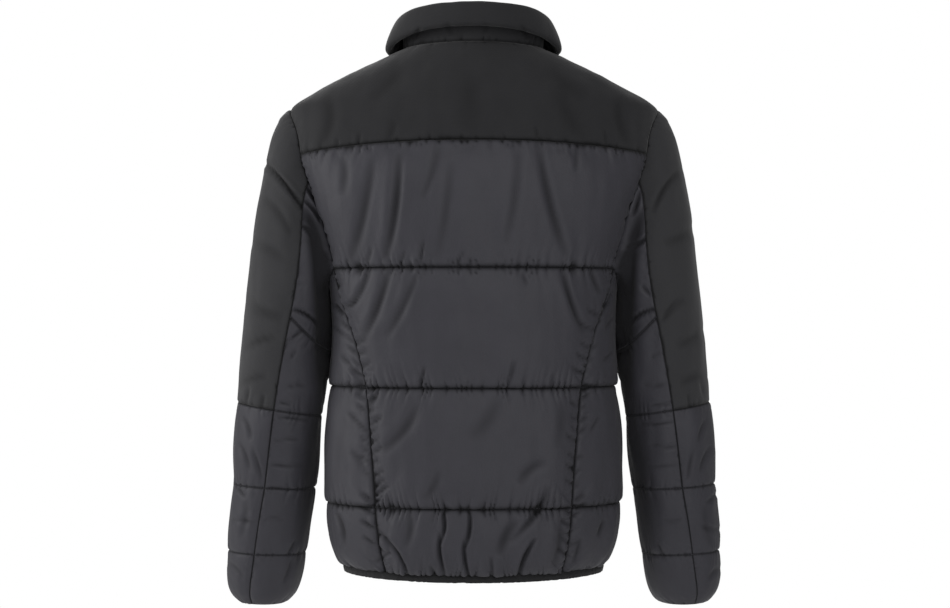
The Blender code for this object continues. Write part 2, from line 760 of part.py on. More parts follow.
def zip_tape(name, side, material):
    """One half of the zip's tape, from the hem to the neck seam."""
    levels = stacked_levels(QUILT_LEVELS)[::2] + list(YOKE_ROWS[1:])
    outer, inner = [], []
    for level in levels:
        outer_row, inner_row = [], []
        for x in (SEAM_GAP / 2, FRONT_EDGE_X / 2, FRONT_EDGE_X - TAPE_CLEAR):
            edge = torso_point(front_edge_angle(level), level)
            normal = torso_normal(180.0, level)
            base = Vector((x * side, edge.y, edge.z)) - normal * TAPE_SINK
            outer_row.append(base)
            inner_row.append(base - normal * TAPE_WALL)
        outer.append(outer_row)
        inner.append(inner_row)
    return wall_object(name, outer, inner, material)


def slider_frame():
    """The slider's place: its pin's middle, with local -Z down the front and local +Y outwards."""
    spot = torso_point(180.0, SLIDER_LEVEL)
    outward = torso_normal(180.0, SLIDER_LEVEL)
    up = Vector((1, 0, 0)).cross(outward).normalized()
    if up.z < 0:
        up = -up
    side = outward.cross(up).normalized()
    frame = Matrix((side, outward, up)).transposed().to_4x4()
    frame.translation = spot + outward * PIN_LIFT
    return frame


def add_block(bm, low, high):
    verts = []
    for x in (low[0], high[0]):
        for y in (low[1], high[1]):
            verts += [bm.verts.new((x, y, z)) for z in (low[2], high[2])]
    for face in ((0, 1, 3, 2), (4, 6, 7, 5), (0, 4, 5, 1), (2, 3, 7, 6), (0, 2, 6, 4), (1, 5, 7, 3)):
        bm.faces.new([verts[i] for i in face])


def union_of(name, blocks, pin_half, material):
    """A solid joined from blocks, and from a pin across them where pin_half is given."""
    bodies = []
    for i, (low, high) in enumerate(blocks):
        bm = bmesh.new()
        add_block(bm, low, high)
        bodies.append(add_object("%s_body_%d" % (name, i), bm, material))
    if pin_half:
        bm = bmesh.new()
        bmesh.ops.create_cone(
            bm, cap_ends=True, segments=ROUND_SIDES, radius1=PIN_RADIUS, radius2=PIN_RADIUS,
            depth=2 * pin_half, matrix=Matrix.Rotation(math.pi / 2, 4, "Y"),
        )
        bodies.append(add_object(name + "_pin", bm, material))
    whole = bodies[0]
    for i, piece in enumerate(bodies[1:]):
        join = whole.modifiers.new("join_%d" % i, "BOOLEAN")
        join.operation = "UNION"
        join.solver = "EXACT"
        join.object = piece
        piece.hide_render = True
        piece.display_type = "WIRE"
    whole.name = name
    return whole


def zip_slider(material):
    plate_x, plate_z, plate_y = (size / 2 for size in SLIDER_PLATE)
    plate_mid = SLIDER_LIFT - PIN_LIFT
    ear_in = EAR_GAP / 2
    ear_out = ear_in + EAR_WALL
    ear_half = EAR_SIZE / 2
    blocks = [((-plate_x, plate_mid - plate_y, -plate_z), (plate_x, plate_mid + plate_y, plate_z))]
    for side in (-1, 1):
        xs = sorted((side * ear_in, side * ear_out))
        blocks.append(((xs[0], plate_mid, -ear_half), (xs[1], ear_half * 0.85, ear_half)))
    slider = union_of("zip_slider", blocks, ear_in + EAR_WALL / 2, material)
    slider.matrix_world = slider_frame()
    for modifier in slider.modifiers:
        modifier.object.matrix_world = slider_frame()
    return slider


def zip_pull(material):
    """The pull tab: an eye round the slider's pin, and a plate that hangs from it."""
    bm = bmesh.new()
    half_wall = TAB_WALL / 2
    rim, hole = [], []
    for k in range(ROUND_SIDES):
        turn = 2 * math.pi * k / ROUND_SIDES
        rim.append((math.cos(turn) * TAB_EYE_RADIUS, math.sin(turn) * TAB_EYE_RADIUS))
        hole.append((math.cos(turn) * TAB_HOLE_RADIUS, math.sin(turn) * TAB_HOLE_RADIUS))
    half_width = TAB_WIDTH / 2
    layers = []
    for x in (-half_width, half_width):
        layers.append((
            [bm.verts.new((x, y, z)) for y, z in rim],
            [bm.verts.new((x, y, z)) for y, z in hole],
        ))
    (rim_a, hole_a), (rim_b, hole_b) = layers
    below = [k for k in range(ROUND_SIDES) if rim[k][1] < -TAB_EYE_RADIUS * 0.8]
    tail = [k for k in below if abs(rim[k][0]) < TAB_EYE_RADIUS * 0.6]
    for k in range(ROUND_SIDES):
        n = (k + 1) % ROUND_SIDES
        bm.faces.new((rim_a[k], rim_a[n], hole_a[n], hole_a[k]))
        bm.faces.new((rim_b[n], rim_b[k], hole_b[k], hole_b[n]))
        bm.faces.new((hole_a[k], hole_a[n], hole_b[n], hole_b[k]))
        if not (k in tail and n in tail):
            bm.faces.new((rim_a[n], rim_a[k], rim_b[k], rim_b[n]))
    tail.sort(key=lambda k: rim[k][0])
    loop_a = [rim_a[k] for k in tail]
    loop_b = [rim_b[k] for k in tail]
    foot = []
    for x, y in ((-1, -1), (-1, 1), (1, 1), (1, -1)):
        foot.append(bm.verts.new((x * half_width, y * half_wall, -TAB_LENGTH)))
    bm.faces.new((loop_a[0], *loop_a[1:], foot[1], foot[0]))
    bm.faces.new((*reversed(loop_b), foot[3], foot[2]))
    bm.faces.new((loop_a[-1], loop_b[-1], foot[2], foot[1]))
    bm.faces.new((loop_b[0], loop_a[0], foot[0], foot[3]))
    bm.faces.new((foot[0], foot[1], foot[2], foot[3]))
    pull = add_object("zip_pull", bm, material)
    pull.matrix_world = slider_frame()
    return pull


# ---------------------------------------------------------------- the whole jacket
def clear_scene():
    for obj in list(bpy.data.objects):
        bpy.data.objects.remove(obj, do_unlink=True)


def both_sides(name, outer, inner, material):
    wall_object(name + "_left", outer, inner, material)
    wall_object(name + "_right", mirrored(outer), mirrored(inner), material)


def armhole_pairs(spots, loop_points, normals):
    """The outer and inner points that the body and the sleeve share round the armhole."""
    pairs = []
    for i, spot in enumerate(spots):
        inward = mitre(torso_normal(*spot), normals[i], ARMHOLE_WALL)
        pairs.append((loop_points[i], loop_points[i] + inward))
    return pairs


def neck_pair(angle):
    """The outer and inner points that a yoke and the collar share on the neck seam."""
    top = float(len(TORSO_RINGS) - 1)
    outside = torso_point(angle, top)
    turn = math.radians(angle)
    collar_face = Vector((math.sin(turn), math.cos(turn), 0))
    return outside, outside + mitre(torso_normal(angle, top), collar_face, COLLAR_WALL)


def build_back(pairs, satin, matte):
    steps = len(CHANNEL_ROWS) - 1
    outer, inner = back_panel_grid(pairs[:steps + 1])
    part_at_seams(outer, inner)
    wall_object("back_panel", outer, inner, satin)
    neck = [neck_pair(angle) for angle, _ in back_spots(YOKE_ROWS)[-1]]
    outer, inner = back_yoke_grid(pairs[steps:ARMHOLE_TIP + 1], neck)
    part_at_seams(outer, inner)
    wall_object("back_yoke", outer, inner, matte)


def build_sides(pairs, satin):
    underarm = [pairs[0]] + list(reversed(pairs[FRONT_FOOT + 1:])) + [pairs[FRONT_FOOT]]
    outer, inner = side_panel_grid(underarm)
    part_at_seams(outer, inner)
    both_sides("side_panel", outer, inner, satin)


def build_fronts(pairs, satin, matte):
    top = ARMHOLE_TIP + TIP_ROW
    outer, inner = front_panel_grid(list(reversed(pairs[top:FRONT_FOOT + 1])))
    part_at_seams(outer, inner)
    both_sides("front_panel", outer, inner, satin)
    neck = [neck_pair(angle) for angle, _ in front_spots(YOKE_ROWS)[-1]]
    outer, inner = front_yoke_grid(list(reversed(pairs[ARMHOLE_TIP:top + 1])), neck)
    part_at_seams(outer, inner)
    both_sides("front_yoke", outer, inner, matte)


def build_collar(matte):
    left = [angle for angle, _ in front_spots(YOKE_ROWS)[-1]][1:]
    back = [angle for angle, _ in back_spots(YOKE_ROWS)[-1]]
    angles = [-angle for angle in reversed(left)] + back + left
    outer, inner = collar_grid(angles, [neck_pair(angle) for angle in angles])
    part_at_seams(outer, inner)
    wall_object("collar", outer, inner, matte)


def build_sleeves(rows, normals, pairs, satin, matte):
    elbow = len(UPPER_ROWS) - 1
    cuff = len(SLEEVE_ROWS) - 1
    outer_columns = list(range(BACK_SEAM, FRONT_SEAM + 1))
    under_columns = list(range(FRONT_SEAM, len(pairs))) + list(range(BACK_SEAM + 1))
    pieces = (
        ("sleeve_upper", outer_columns, 0, elbow, OUTER_LINES, matte),
        ("sleeve_lower", outer_columns, elbow, cuff, OUTER_LINES, satin),
        ("sleeve_under", under_columns, 0, cuff, UNDER_LINES, satin),
    )
    for name, columns, first, last, lines, material in pieces:
        outer, inner = sleeve_piece(rows, normals, pairs, columns, first, last, lines)
        part_at_seams(outer, inner)
        both_sides(name, outer, inner, material)


def build_jacket():
    clear_scene()
    matte = cloth_material("matte_shell", MATTE_CLOTH, 0.85)
    satin = cloth_material("satin_shell", SATIN_CLOTH, 0.50)
    binding = cloth_material("elastic_binding", BINDING_CLOTH, 0.90)
    tape = cloth_material("zip_tape", TAPE_CLOTH, 0.85)
    metal = metal_material("dark_metal", DARK_METAL, 0.35)

    spots = armhole_spots()
    loop_points = [torso_point(*spot) for spot in spots]
    rows = sleeve_grid(loop_points)
    normals = grid_normals(rows)
    pairs = armhole_pairs(spots, loop_points, normals[0])

    build_back(pairs, satin, matte)
    build_sides(pairs, satin)
    build_fronts(pairs, satin, matte)
    build_collar(matte)
    build_sleeves(rows, normals, pairs, satin, matte)
    hem_binding(binding)
    zip_tape("zip_tape_left", 1, tape)
    zip_tape("zip_tape_right", -1, tape)
    zip_slider(metal)
    zip_pull(metal)


build_jacket()
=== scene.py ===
import heapq
import math

import bmesh
import bpy
import numpy as np
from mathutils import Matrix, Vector, noise
from mathutils.bvhtree import BVHTree
from mathutils.kdtree import KDTree


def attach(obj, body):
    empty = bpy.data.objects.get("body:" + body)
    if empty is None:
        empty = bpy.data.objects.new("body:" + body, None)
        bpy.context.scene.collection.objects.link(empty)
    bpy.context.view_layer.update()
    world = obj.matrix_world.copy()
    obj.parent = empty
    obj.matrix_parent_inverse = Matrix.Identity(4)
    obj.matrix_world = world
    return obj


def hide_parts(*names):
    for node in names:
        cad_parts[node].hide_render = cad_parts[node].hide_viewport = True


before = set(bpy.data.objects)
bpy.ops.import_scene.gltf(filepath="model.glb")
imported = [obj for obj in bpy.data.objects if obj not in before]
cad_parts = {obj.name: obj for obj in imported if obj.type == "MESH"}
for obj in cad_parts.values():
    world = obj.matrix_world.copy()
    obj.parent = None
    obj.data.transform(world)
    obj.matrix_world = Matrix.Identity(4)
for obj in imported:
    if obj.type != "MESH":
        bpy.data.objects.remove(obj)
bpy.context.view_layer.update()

# the photograph's camera, with its sizes in the photograph's pixels
view = {
    "place": (-0.0019, 2.8, -0.3261), "focalPixels": 2205.0, "eyeRow": 304.0, "middleColumn": 475.0,
    "pictureWidth": 950, "sensorWidth": 36.0,
    "mirrorSum": 947,  # two columns that mirror each other in the jacket add up to this
}
room = {
    "floorHeight": -1.45, "floorSize": 7.0, "floorColour": (0.86, 0.86, 0.86), "floorRoughness": 0.9,
    "worldLight": 0.24,
}
lamps = [
    # name, place, size, power, aimed at
    ("keyLamp", (2.9, 0.6, 0.4), 2.2, 66.0, (0.0, 0.0, -0.30)),
    ("highLamp", (-0.2, 2.6, 1.7), 1.8, 34.0, (0.0, 0.0, -0.35)),
    ("fillLamp", (-1.2, 2.8, 0.0), 2.2, 30.0, (0.0, 0.0, -0.35)),
    ("frontLamp", (0.4, -2.8, 1.2), 2.4, 50.0, (0.0, 0.0, -0.35)),
]


def deselectAll():
    bpy.ops.object.select_all(action="DESELECT")


def pick(obj):
    deselectAll()
    obj.select_set(True)
    bpy.context.view_layer.objects.active = obj


def addCamera():
    # level, and facing the jacket's back
    bpy.ops.object.camera_add(location=view["place"], rotation=(math.radians(90), 0, math.radians(180)))
    camera = bpy.context.object
    camera.name = "photoCamera"
    camera.data.sensor_width = view["sensorWidth"]
    camera.data.lens = view["focalPixels"] / view["pictureWidth"] * view["sensorWidth"]
    bpy.context.scene.camera = camera


def addRoom():
    bpy.ops.mesh.primitive_plane_add(size=room["floorSize"], location=(0, 0, room["floorHeight"]))
    floor = bpy.context.object
    floor.name = "floor"
    paint = bpy.data.materials.new("floorPaint")
    paint.use_nodes = True
    shader = paint.node_tree.nodes["Principled BSDF"]
    shader.inputs["Base Color"].default_value = (*room["floorColour"], 1)
    shader.inputs["Roughness"].default_value = room["floorRoughness"]
    floor.data.materials.append(paint)
    # plain white where it is seen, softer where it lights the cloth
    world = bpy.data.worlds.new("studio")
    bpy.context.scene.world = world
    world.use_nodes = True
    nodes, links = world.node_tree.nodes, world.node_tree.links
    seen = nodes["Background"]
    seen.inputs["Color"].default_value = (1, 1, 1, 1)
    seen.inputs["Strength"].default_value = 1.0
    lit = nodes.new("ShaderNodeBackground")
    lit.inputs["Color"].default_value = (1, 1, 1, 1)
    lit.inputs["Strength"].default_value = room["worldLight"]
    rays = nodes.new("ShaderNodeLightPath")
    choose = nodes.new("ShaderNodeMixShader")
    links.new(rays.outputs["Is Camera Ray"], choose.inputs["Fac"])
    links.new(lit.outputs["Background"], choose.inputs[1])
    links.new(seen.outputs["Background"], choose.inputs[2])
    links.new(choose.outputs["Shader"], nodes["World Output"].inputs["Surface"])
    for name, place, size, power, target in lamps:
        bpy.ops.object.light_add(type="AREA", location=place)
        lamp = bpy.context.object
        lamp.name = name
        lamp.data.size = size
        lamp.data.energy = power
        lamp.rotation_euler = (Vector(target) - Vector(place)).to_track_quat("-Z", "Y").to_euler()
    bpy.context.scene.view_settings.view_transform = "Standard"


addCamera()
addRoom()
print("camera, floor and lamps are in")

# cloths and metal
matteCloth = {
    "colour": (0.0129, 0.0129, 0.0142), "lighter": (0.0174, 0.0174, 0.0190), "roughness": 0.84,
    "sheen": 0.12, "threads": 1500.0, "threadBump": 0.10, "crumple": 0.10, "specular": 0.18,
}
# the same cloth on the sleeves, painted lighter: painted light for the side light that falls on them
sleeveClothPaintedLighter = {**matteCloth, "colour": (0.0226, 0.0226, 0.0245), "lighter": (0.0294, 0.0294, 0.0316)}
satinCloth = {
    "colour": (0.0262, 0.0256, 0.0314), "lighter": (0.0346, 0.0338, 0.0412), "roughness": 0.58,
    "sheen": 0.04, "threads": 1900.0, "threadBump": 0.06, "crumple": 0.18, "specular": 0.24,
}
bindingCloth = {
    "colour": (0.0085, 0.0085, 0.0093), "lighter": (0.0130, 0.0130, 0.0140), "roughness": 0.88,
    "sheen": 0.08, "threads": 1100.0, "threadBump": 0.25, "crumple": 0.04, "specular": 0.22,
}
tapeCloth = {
    "colour": (0.014, 0.014, 0.015), "lighter": (0.021, 0.021, 0.023), "roughness": 0.85,
    "sheen": 0.05, "threads": 1200.0, "threadBump": 0.25, "crumple": 0.02, "specular": 0.25,
}

clothFinish = {
    # paintedShadeShare: how dark the painted shade makes the cloth
    "sheenRoughness": 0.5, "cloudScale": 22.0, "paintedShadeShare": 0.12, "threadsAcross": 0.86,
    "weaveDepth": 0.0003, "crumpleScale": 95.0, "crumpleDepth": 0.0022,
}
darkMetal = {
    "metallic": 0.85, "wearScale": 420.0, "colour": (0.018, 0.018, 0.020), "worn": (0.060, 0.060, 0.064),
    "polished": 0.28, "dull": 0.48,
}


def addNode(tree, kind, **settings):
    node = tree.nodes.new(kind)
    for key, value in settings.items():
        if hasattr(node, key):
            setattr(node, key, value)
        else:
            node.inputs[key].default_value = value
    return node


def startMaterial(name):
    material = bpy.data.materials.new(name)
    material.use_nodes = True
    tree = material.node_tree
    return material, tree, tree.nodes["Principled BSDF"], addNode(tree, "ShaderNodeTexCoord")


def mixColours(tree, factor, colour, other):
    mix = addNode(tree, "ShaderNodeMix", data_type="RGBA")
    mix.inputs["A"].default_value = (*colour, 1)
    mix.inputs["B"].default_value = (*other, 1)
    tree.links.new(factor, mix.inputs["Factor"])
    return mix


def mapRange(tree, factor, low, high):
    between = addNode(tree, "ShaderNodeMapRange")
    between.inputs["To Min"].default_value = low
    between.inputs["To Max"].default_value = high
    tree.links.new(factor, between.inputs["Value"])
    return between.outputs["Result"]


def clothMaterial(name, cloth):
    material, tree, shader, place = startMaterial(name)
    link = tree.links.new
    shader.inputs["Specular IOR Level"].default_value = cloth["specular"]
    shader.inputs["Sheen Weight"].default_value = cloth["sheen"]
    shader.inputs["Sheen Roughness"].default_value = clothFinish["sheenRoughness"]
    cloudy = addNode(tree, "ShaderNodeTexNoise", Scale=clothFinish["cloudScale"], Detail=4.0, Roughness=0.6)
    link(place.outputs["Object"], cloudy.inputs["Vector"])
    tone = mixColours(tree, cloudy.outputs["Fac"], cloth["colour"], cloth["lighter"])
    # painted shade along the stitching, in pucker valleys, in folds and on the rims at the seams; the cloth is
    # made rougher there too
    paintedShadeMask = addNode(tree, "ShaderNodeAttribute", attribute_name="paintedShadeMask")
    paintedShadeColour = [clothFinish["paintedShadeShare"] * c for c in cloth["colour"]]
    paintedShade = mixColours(tree, paintedShadeMask.outputs["Fac"], cloth["colour"], paintedShadeColour)
    link(tone.outputs["Result"], paintedShade.inputs["A"])
    link(paintedShade.outputs["Result"], shader.inputs["Base Color"])
    link(mapRange(tree, paintedShadeMask.outputs["Fac"], cloth["roughness"], 1.0), shader.inputs["Roughness"])
    # the weave: threads crossing in all three directions, so it fits every panel
    parts = addNode(tree, "ShaderNodeSeparateXYZ")
    link(place.outputs["Object"], parts.inputs["Vector"])
    waves = []
    for axis in ("X", "Y", "Z"):
        scaled = addNode(tree, "ShaderNodeMath", operation="MULTIPLY")
        share = clothFinish["threadsAcross"] if axis == "X" else 1.0
        scaled.inputs[1].default_value = cloth["threads"] * share
        link(parts.outputs[axis], scaled.inputs[0])
        wave = addNode(tree, "ShaderNodeMath", operation="SINE")
        link(scaled.outputs["Value"], wave.inputs[0])
        waves.append(wave)
    flat = addNode(tree, "ShaderNodeMath", operation="ADD")
    link(waves[0].outputs["Value"], flat.inputs[0])
    link(waves[1].outputs["Value"], flat.inputs[1])
    weave = addNode(tree, "ShaderNodeMath", operation="MULTIPLY")
    link(flat.outputs["Value"], weave.inputs[0])
    link(waves[2].outputs["Value"], weave.inputs[1])
    weaveBump = addNode(
        tree, "ShaderNodeBump", Strength=cloth["threadBump"], Distance=clothFinish["weaveDepth"],
    )
    link(weave.outputs["Value"], weaveBump.inputs["Height"])
    crumple = addNode(
        tree, "ShaderNodeTexNoise",
        Scale=clothFinish["crumpleScale"], Detail=3.0, Roughness=0.55, Distortion=0.6,
    )
    link(place.outputs["Object"], crumple.inputs["Vector"])
    crumpleBump = addNode(
        tree, "ShaderNodeBump", Strength=cloth["crumple"], Distance=clothFinish["crumpleDepth"],
    )
    link(crumple.outputs["Fac"], crumpleBump.inputs["Height"])
    link(weaveBump.outputs["Normal"], crumpleBump.inputs["Normal"])
    link(crumpleBump.outputs["Normal"], shader.inputs["Normal"])
    return material


def metalMaterial(name, metal):
    material, tree, shader, place = startMaterial(name)
    link = tree.links.new
    shader.inputs["Metallic"].default_value = metal["metallic"]
    worn = addNode(tree, "ShaderNodeTexNoise", Scale=metal["wearScale"], Detail=5.0, Roughness=0.65)
    link(place.outputs["Object"], worn.inputs["Vector"])
    tone = mixColours(tree, worn.outputs["Fac"], metal["colour"], metal["worn"])
    link(tone.outputs["Result"], shader.inputs["Base Color"])
    link(mapRange(tree, worn.outputs["Fac"], metal["polished"], metal["dull"]), shader.inputs["Roughness"])
    return material


materials = {
    "dark_metal": metalMaterial("darkMetal", darkMetal),
    "matte_shell": clothMaterial("matteShell", matteCloth),
    # the sleeves' copy of the matt cloth, painted lighter for the side light they catch
    "matte_sleeve": clothMaterial("matteSleevePaintedLighter", sleeveClothPaintedLighter),
    "satin_shell": clothMaterial("satinShell", satinCloth),
    "elastic_binding": clothMaterial("elasticBinding", bindingCloth),
    "zip_tape": clothMaterial("zipTape", tapeCloth),
}
print("materials are made")

# padded cloth: a finer copy of each solid, filled by Cloth and raised between its stitched lines
meshing = {
    "merge": 0.00002, "quadAngle": 60,
    "innerFold": 35, "collarFold": 66, "rimFold": 35,  # fold angles that part the sheets and the rim
    "footGap": 0.0009, "collarSheet": 0.004,  # the collar's foot, and the least area of its sheets
    "stitchedWall": 0.0034, "thinner": 1.12,  # thickest wall under stitching, and the step up beside it
    "opposite": -0.6, "levels": 2, "held": 0.4, "easing": 0.5, "smoothAngle": 75,
}
sheetOuter, sheetInner, sheetRim = 0, 1, 2  # material numbers, until the piece is finished
filling = {"frames": 20, "pressure": 3.0, "stiffness": 12.0, "mass": 0.2, "damping": 2.0, "quality": 4}


def meshPiece(name, mesh):
    piece = bpy.data.objects.new(name, mesh)
    bpy.context.scene.collection.objects.link(piece)
    pick(piece)
    return piece


def smoothShade(piece, degrees):
    pick(piece)
    bpy.ops.object.shade_smooth_by_angle(angle=math.radians(degrees))


def copyNode(nodeName, pieceName):
    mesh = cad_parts[nodeName].data.copy()
    mesh.name = pieceName
    piece = meshPiece(pieceName, mesh)
    bpy.ops.object.mode_set(mode="EDIT")
    bpy.ops.mesh.select_all(action="SELECT")
    bpy.ops.mesh.remove_doubles(threshold=meshing["merge"])
    bpy.ops.mesh.tris_convert_to_quads(
        face_threshold=math.radians(meshing["quadAngle"]), shape_threshold=math.pi,
    )
    bpy.ops.object.mode_set(mode="OBJECT")
    return piece


def growPatches(faces, foldAngle):
    # patches of faces that meet at less than the fold angle
    patches, waiting, limit = [], set(faces), math.cos(math.radians(foldAngle))
    for start in faces:
        if start not in waiting:
            continue
        patch, queue = [], [start]
        waiting.discard(start)
        while queue:
            face = queue.pop()
            patch.append(face)
            for edge in face.edges:
                for other in edge.link_faces:
                    if other in waiting and face.normal.dot(other.normal) > limit:
                        waiting.discard(other)
                        queue.append(other)
        patches.append(patch)
    return patches


def sortSheets(bm, insidePoint):
    # the inner sheet is plain, so it is one smooth patch that faces inwards; its neighbours are the rim
    def facing(patch):
        total = 0.0
        for face in patch:
            middle = face.calc_center_median()
            total += face.normal.dot((middle - insidePoint(middle)).normalized()) * face.calc_area()
        return total

    inner = set(min(growPatches(bm.faces[:], meshing["innerFold"]), key=facing))
    innerPoints = {v for face in inner for v in face.verts}
    for face in bm.faces:
        if face in inner:
            face.material_index = sheetInner
        else:
            face.material_index = sheetRim if any(v in innerPoints for v in face.verts) else sheetOuter


def sortCollar(bm):
    # both sheets of the turned-down collar show; its foot lies against the yokes
    yokes = bmesh.new()
    for name in ("back_yoke", "front_yoke_left", "front_yoke_right"):
        yokes.from_mesh(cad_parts[name].data)
    nearYokes = BVHTree.FromBMesh(yokes)
    foot = set()
    for face in bm.faces:
        if nearYokes.find_nearest(face.calc_center_median())[3] < meshing["footGap"]:
            foot.add(face)
            face.material_index = sheetRim
    for patch in growPatches([f for f in bm.faces if f not in foot], meshing["collarFold"]):
        large = sum(f.calc_area() for f in patch) > meshing["collarSheet"]
        for face in patch:
            face.material_index = sheetOuter if large else sheetRim
    yokes.free()


def wallUnder(bm):
    # the inner sheet, to measure the wall from
    inner = [f for f in bm.faces if f.material_index == sheetInner]
    if not inner:
        return None
    corners, points, faces = {}, [], []
    for face in inner:
        row = []
        for v in face.verts:
            if v.index not in corners:
                corners[v.index] = len(points)
                points.append(v.co.copy())
            row.append(corners[v.index])
        faces.append(row)
    return BVHTree.FromPolygons(points, faces)


def acrossFrom(v):
    # pairs of neighbours that lie on opposite sides of a point
    pairs = []
    reached = [(e.other_vert(v), (e.other_vert(v).co - v.co).normalized()) for e in v.link_edges]
    for i, (one, wayOne) in enumerate(reached):
        for other, wayOther in reached[i + 1:]:
            if wayOne.dot(wayOther) < meshing["opposite"]:
                pairs.append((one, other))
    return pairs


def markStitching(bm, piece):
    # stitched down: the edge of the sheet, and the lines where the wall is thinner than on both sides
    under = wallUnder(bm)
    group = piece.vertex_groups.new(name="stitched")
    weights = bm.verts.layers.deform.verify()
    crease = bm.edges.layers.float.get("crease_edge") or bm.edges.layers.float.new("crease_edge")
    stitched, wall = set(), {}
    for v in bm.verts:
        kinds = {f.material_index for f in v.link_faces}
        if sheetOuter in kinds:
            wall[v] = under.find_nearest(v.co)[3] if under else 1.0
            if len(kinds) > 1:
                stitched.add(v)
    thin = [v for v in wall if v not in stitched and wall[v] < meshing["stitchedWall"]]
    for v in thin:
        if any(min(wall.get(a, 0), wall.get(b, 0)) > meshing["thinner"] * wall[v] for a, b in acrossFrom(v)):
            stitched.add(v)
    for _ in range(2):
        between = [v for v in thin if any(a in stitched and b in stitched for a, b in acrossFrom(v))]
        stitched.update(between)
    # a single thin point is a dent, not stitching
    stitched -= {v for v in stitched if not any(edge.other_vert(v) in stitched for edge in v.link_edges)}
    # a corner cell with stitching all round gets a free point on its longest inner edge
    for face in bm.faces[:]:
        if not face.is_valid or face.material_index != sheetOuter or len(face.verts) != 3:
            continue
        if all(v in stitched for v in face.verts):
            inner = [e for e in face.edges if {f.material_index for f in e.link_faces} == {sheetOuter}]
            if inner:
                longest = max(inner, key=lambda e: e.calc_length())
                bmesh.utils.edge_split(longest, longest.verts[0], 0.5)
    for v in stitched:
        v[weights][group.index] = 1.0
    for edge in bm.edges:
        kinds = {f.material_index for f in edge.link_faces}
        folded = edge.calc_face_angle(0) > math.radians(meshing["rimFold"])
        if len(kinds) > 1 or (kinds == {sheetRim} and folded):
            edge[crease] = 1.0
        elif kinds == {sheetOuter} and edge.verts[0] in stitched and edge.verts[1] in stitched:
            edge[crease] = 1.0


def refine(piece, levels, kind="CATMULL_CLARK"):
    modifier = piece.modifiers.new("finer", "SUBSURF")
    modifier.subdivision_type = kind
    modifier.levels = levels
    modifier.render_levels = levels
    modifier.boundary_smooth = "PRESERVE_CORNERS"
    pick(piece)
    bpy.ops.object.modifier_apply(modifier=modifier.name)


def refineOuter(piece):
    # one more cut of the outer sheet alone, eased so that no facet shows
    bm = bmesh.new()
    bm.from_mesh(piece.data)
    edges = [e for e in bm.edges if any(f.material_index == sheetOuter for f in e.link_faces)]
    bmesh.ops.subdivide_edges(bm, edges=edges, cuts=1, use_grid_fill=True, smooth=0.0)
    weights = bm.verts.layers.deform.verify()
    group = piece.vertex_groups["stitched"].index
    loose = [
        v for v in bm.verts
        if all(f.material_index == sheetOuter for f in v.link_faces)
        and v[weights].get(group, 0) < meshing["held"]
    ]
    for _ in range(2):
        bmesh.ops.smooth_vert(
            bm, verts=loose, factor=meshing["easing"], use_axis_x=True, use_axis_y=True, use_axis_z=True,
        )
    bm.to_mesh(piece.data)
    bm.free()


def readOuter(piece):
    # arrays of the points and normals, and which points are on the outer sheet and which are stitched down
    mesh = piece.data
    outer = np.zeros(len(mesh.vertices), bool)
    for polygon in mesh.polygons:
        if polygon.material_index == sheetOuter:
            outer[list(polygon.vertices)] = True
    points = np.zeros(len(mesh.vertices) * 3)
    mesh.vertices.foreach_get("co", points)
    normals = np.zeros(len(mesh.vertices) * 3)
    mesh.vertices.foreach_get("normal", normals)
    group = piece.vertex_groups["stitched"].index
    stitched = np.zeros(len(mesh.vertices), bool)
    for v in mesh.vertices:
        for g in v.groups:
            if g.group == group and g.weight > 0.99:
                stitched[v.index] = True
    return {
        "outer": outer, "points": points.reshape(-1, 3), "normals": normals.reshape(-1, 3),
        "stitched": stitched & outer,
    }


# how a point is measured from the stitching
gauging = {"lineGap": 3.7, "nearest": 3, "closest": 0.001, "sameLine": 0.02, "soften": 0.0004}


def stitchTravel(mesh, stitched, points):
    # length along the stitched lines, measured through their edges
    neighbours = {int(i): [] for i in np.nonzero(stitched)[0]}
    for edge in mesh.edges:
        a, b = edge.vertices
        if stitched[a] and stitched[b]:
            length = float(np.linalg.norm(points[a] - points[b]))
            neighbours[a].append((b, length))
            neighbours[b].append((a, length))
    travel, base = {}, 0.0
    for start in sorted(neighbours, key=lambda i: (round(points[i][2], 4), round(points[i][0], 4))):
        if start in travel:
            continue
        travel[start] = base
        queue = [(base, start)]
        while queue:
            so, here = heapq.heappop(queue)
            if so > travel[here]:
                continue
            for there, length in neighbours[here]:
                if so + length < travel.get(there, 1e9):
                    travel[there] = so + length
                    heapq.heappush(queue, (so + length, there))
        base += gauging["lineGap"]  # so that two lines never read as neighbours
    return travel


def nearStitching(piece, sheet):
    # for each point: how far off the stitching is, how far along it that stitch lies, and 1 right above it
    # to -1 right below it
    stitchedIndices = np.nonzero(sheet["stitched"])[0]
    travel = stitchTravel(piece.data, sheet["stitched"], sheet["points"])
    tree = KDTree(len(stitchedIndices))
    for i in stitchedIndices:
        tree.insert(sheet["points"][i], int(i))
    tree.balance()
    count = len(sheet["points"])
    away, along, over = np.full(count, 1.0), np.zeros(count), np.zeros(count)
    for i in np.nonzero(sheet["outer"])[0]:
        found = tree.find_n(sheet["points"][i], gauging["nearest"])
        away[i] = found[0][2]
        over[i] = (sheet["points"][i][2] - found[0][0][2]) / max(away[i], gauging["closest"])
        total, weight = 0.0, 0.0
        for _, j, distance in found:
            if abs(travel[j] - travel[found[0][1]]) < gauging["sameLine"]:
                w = 1 / (distance + gauging["soften"]) ** 2
                total += w * travel[j]
                weight += w
        along[i] = total / weight
    return away, along, over


pleating = {
    "phases": [0.7, 2.1, 4.4], "seedShift": 0.37,
    "sway": 0.42, "swayEvery": 3.3, "jitter": 0.22, "jitterEvery": 1.9,  # uneven spacing, in pleats
    "steady": 0.72, "fade": 0.28, "fadeEvery": 6.1,  # uneven strength
    "roundness": 0.6, "middle": 0.7,
}


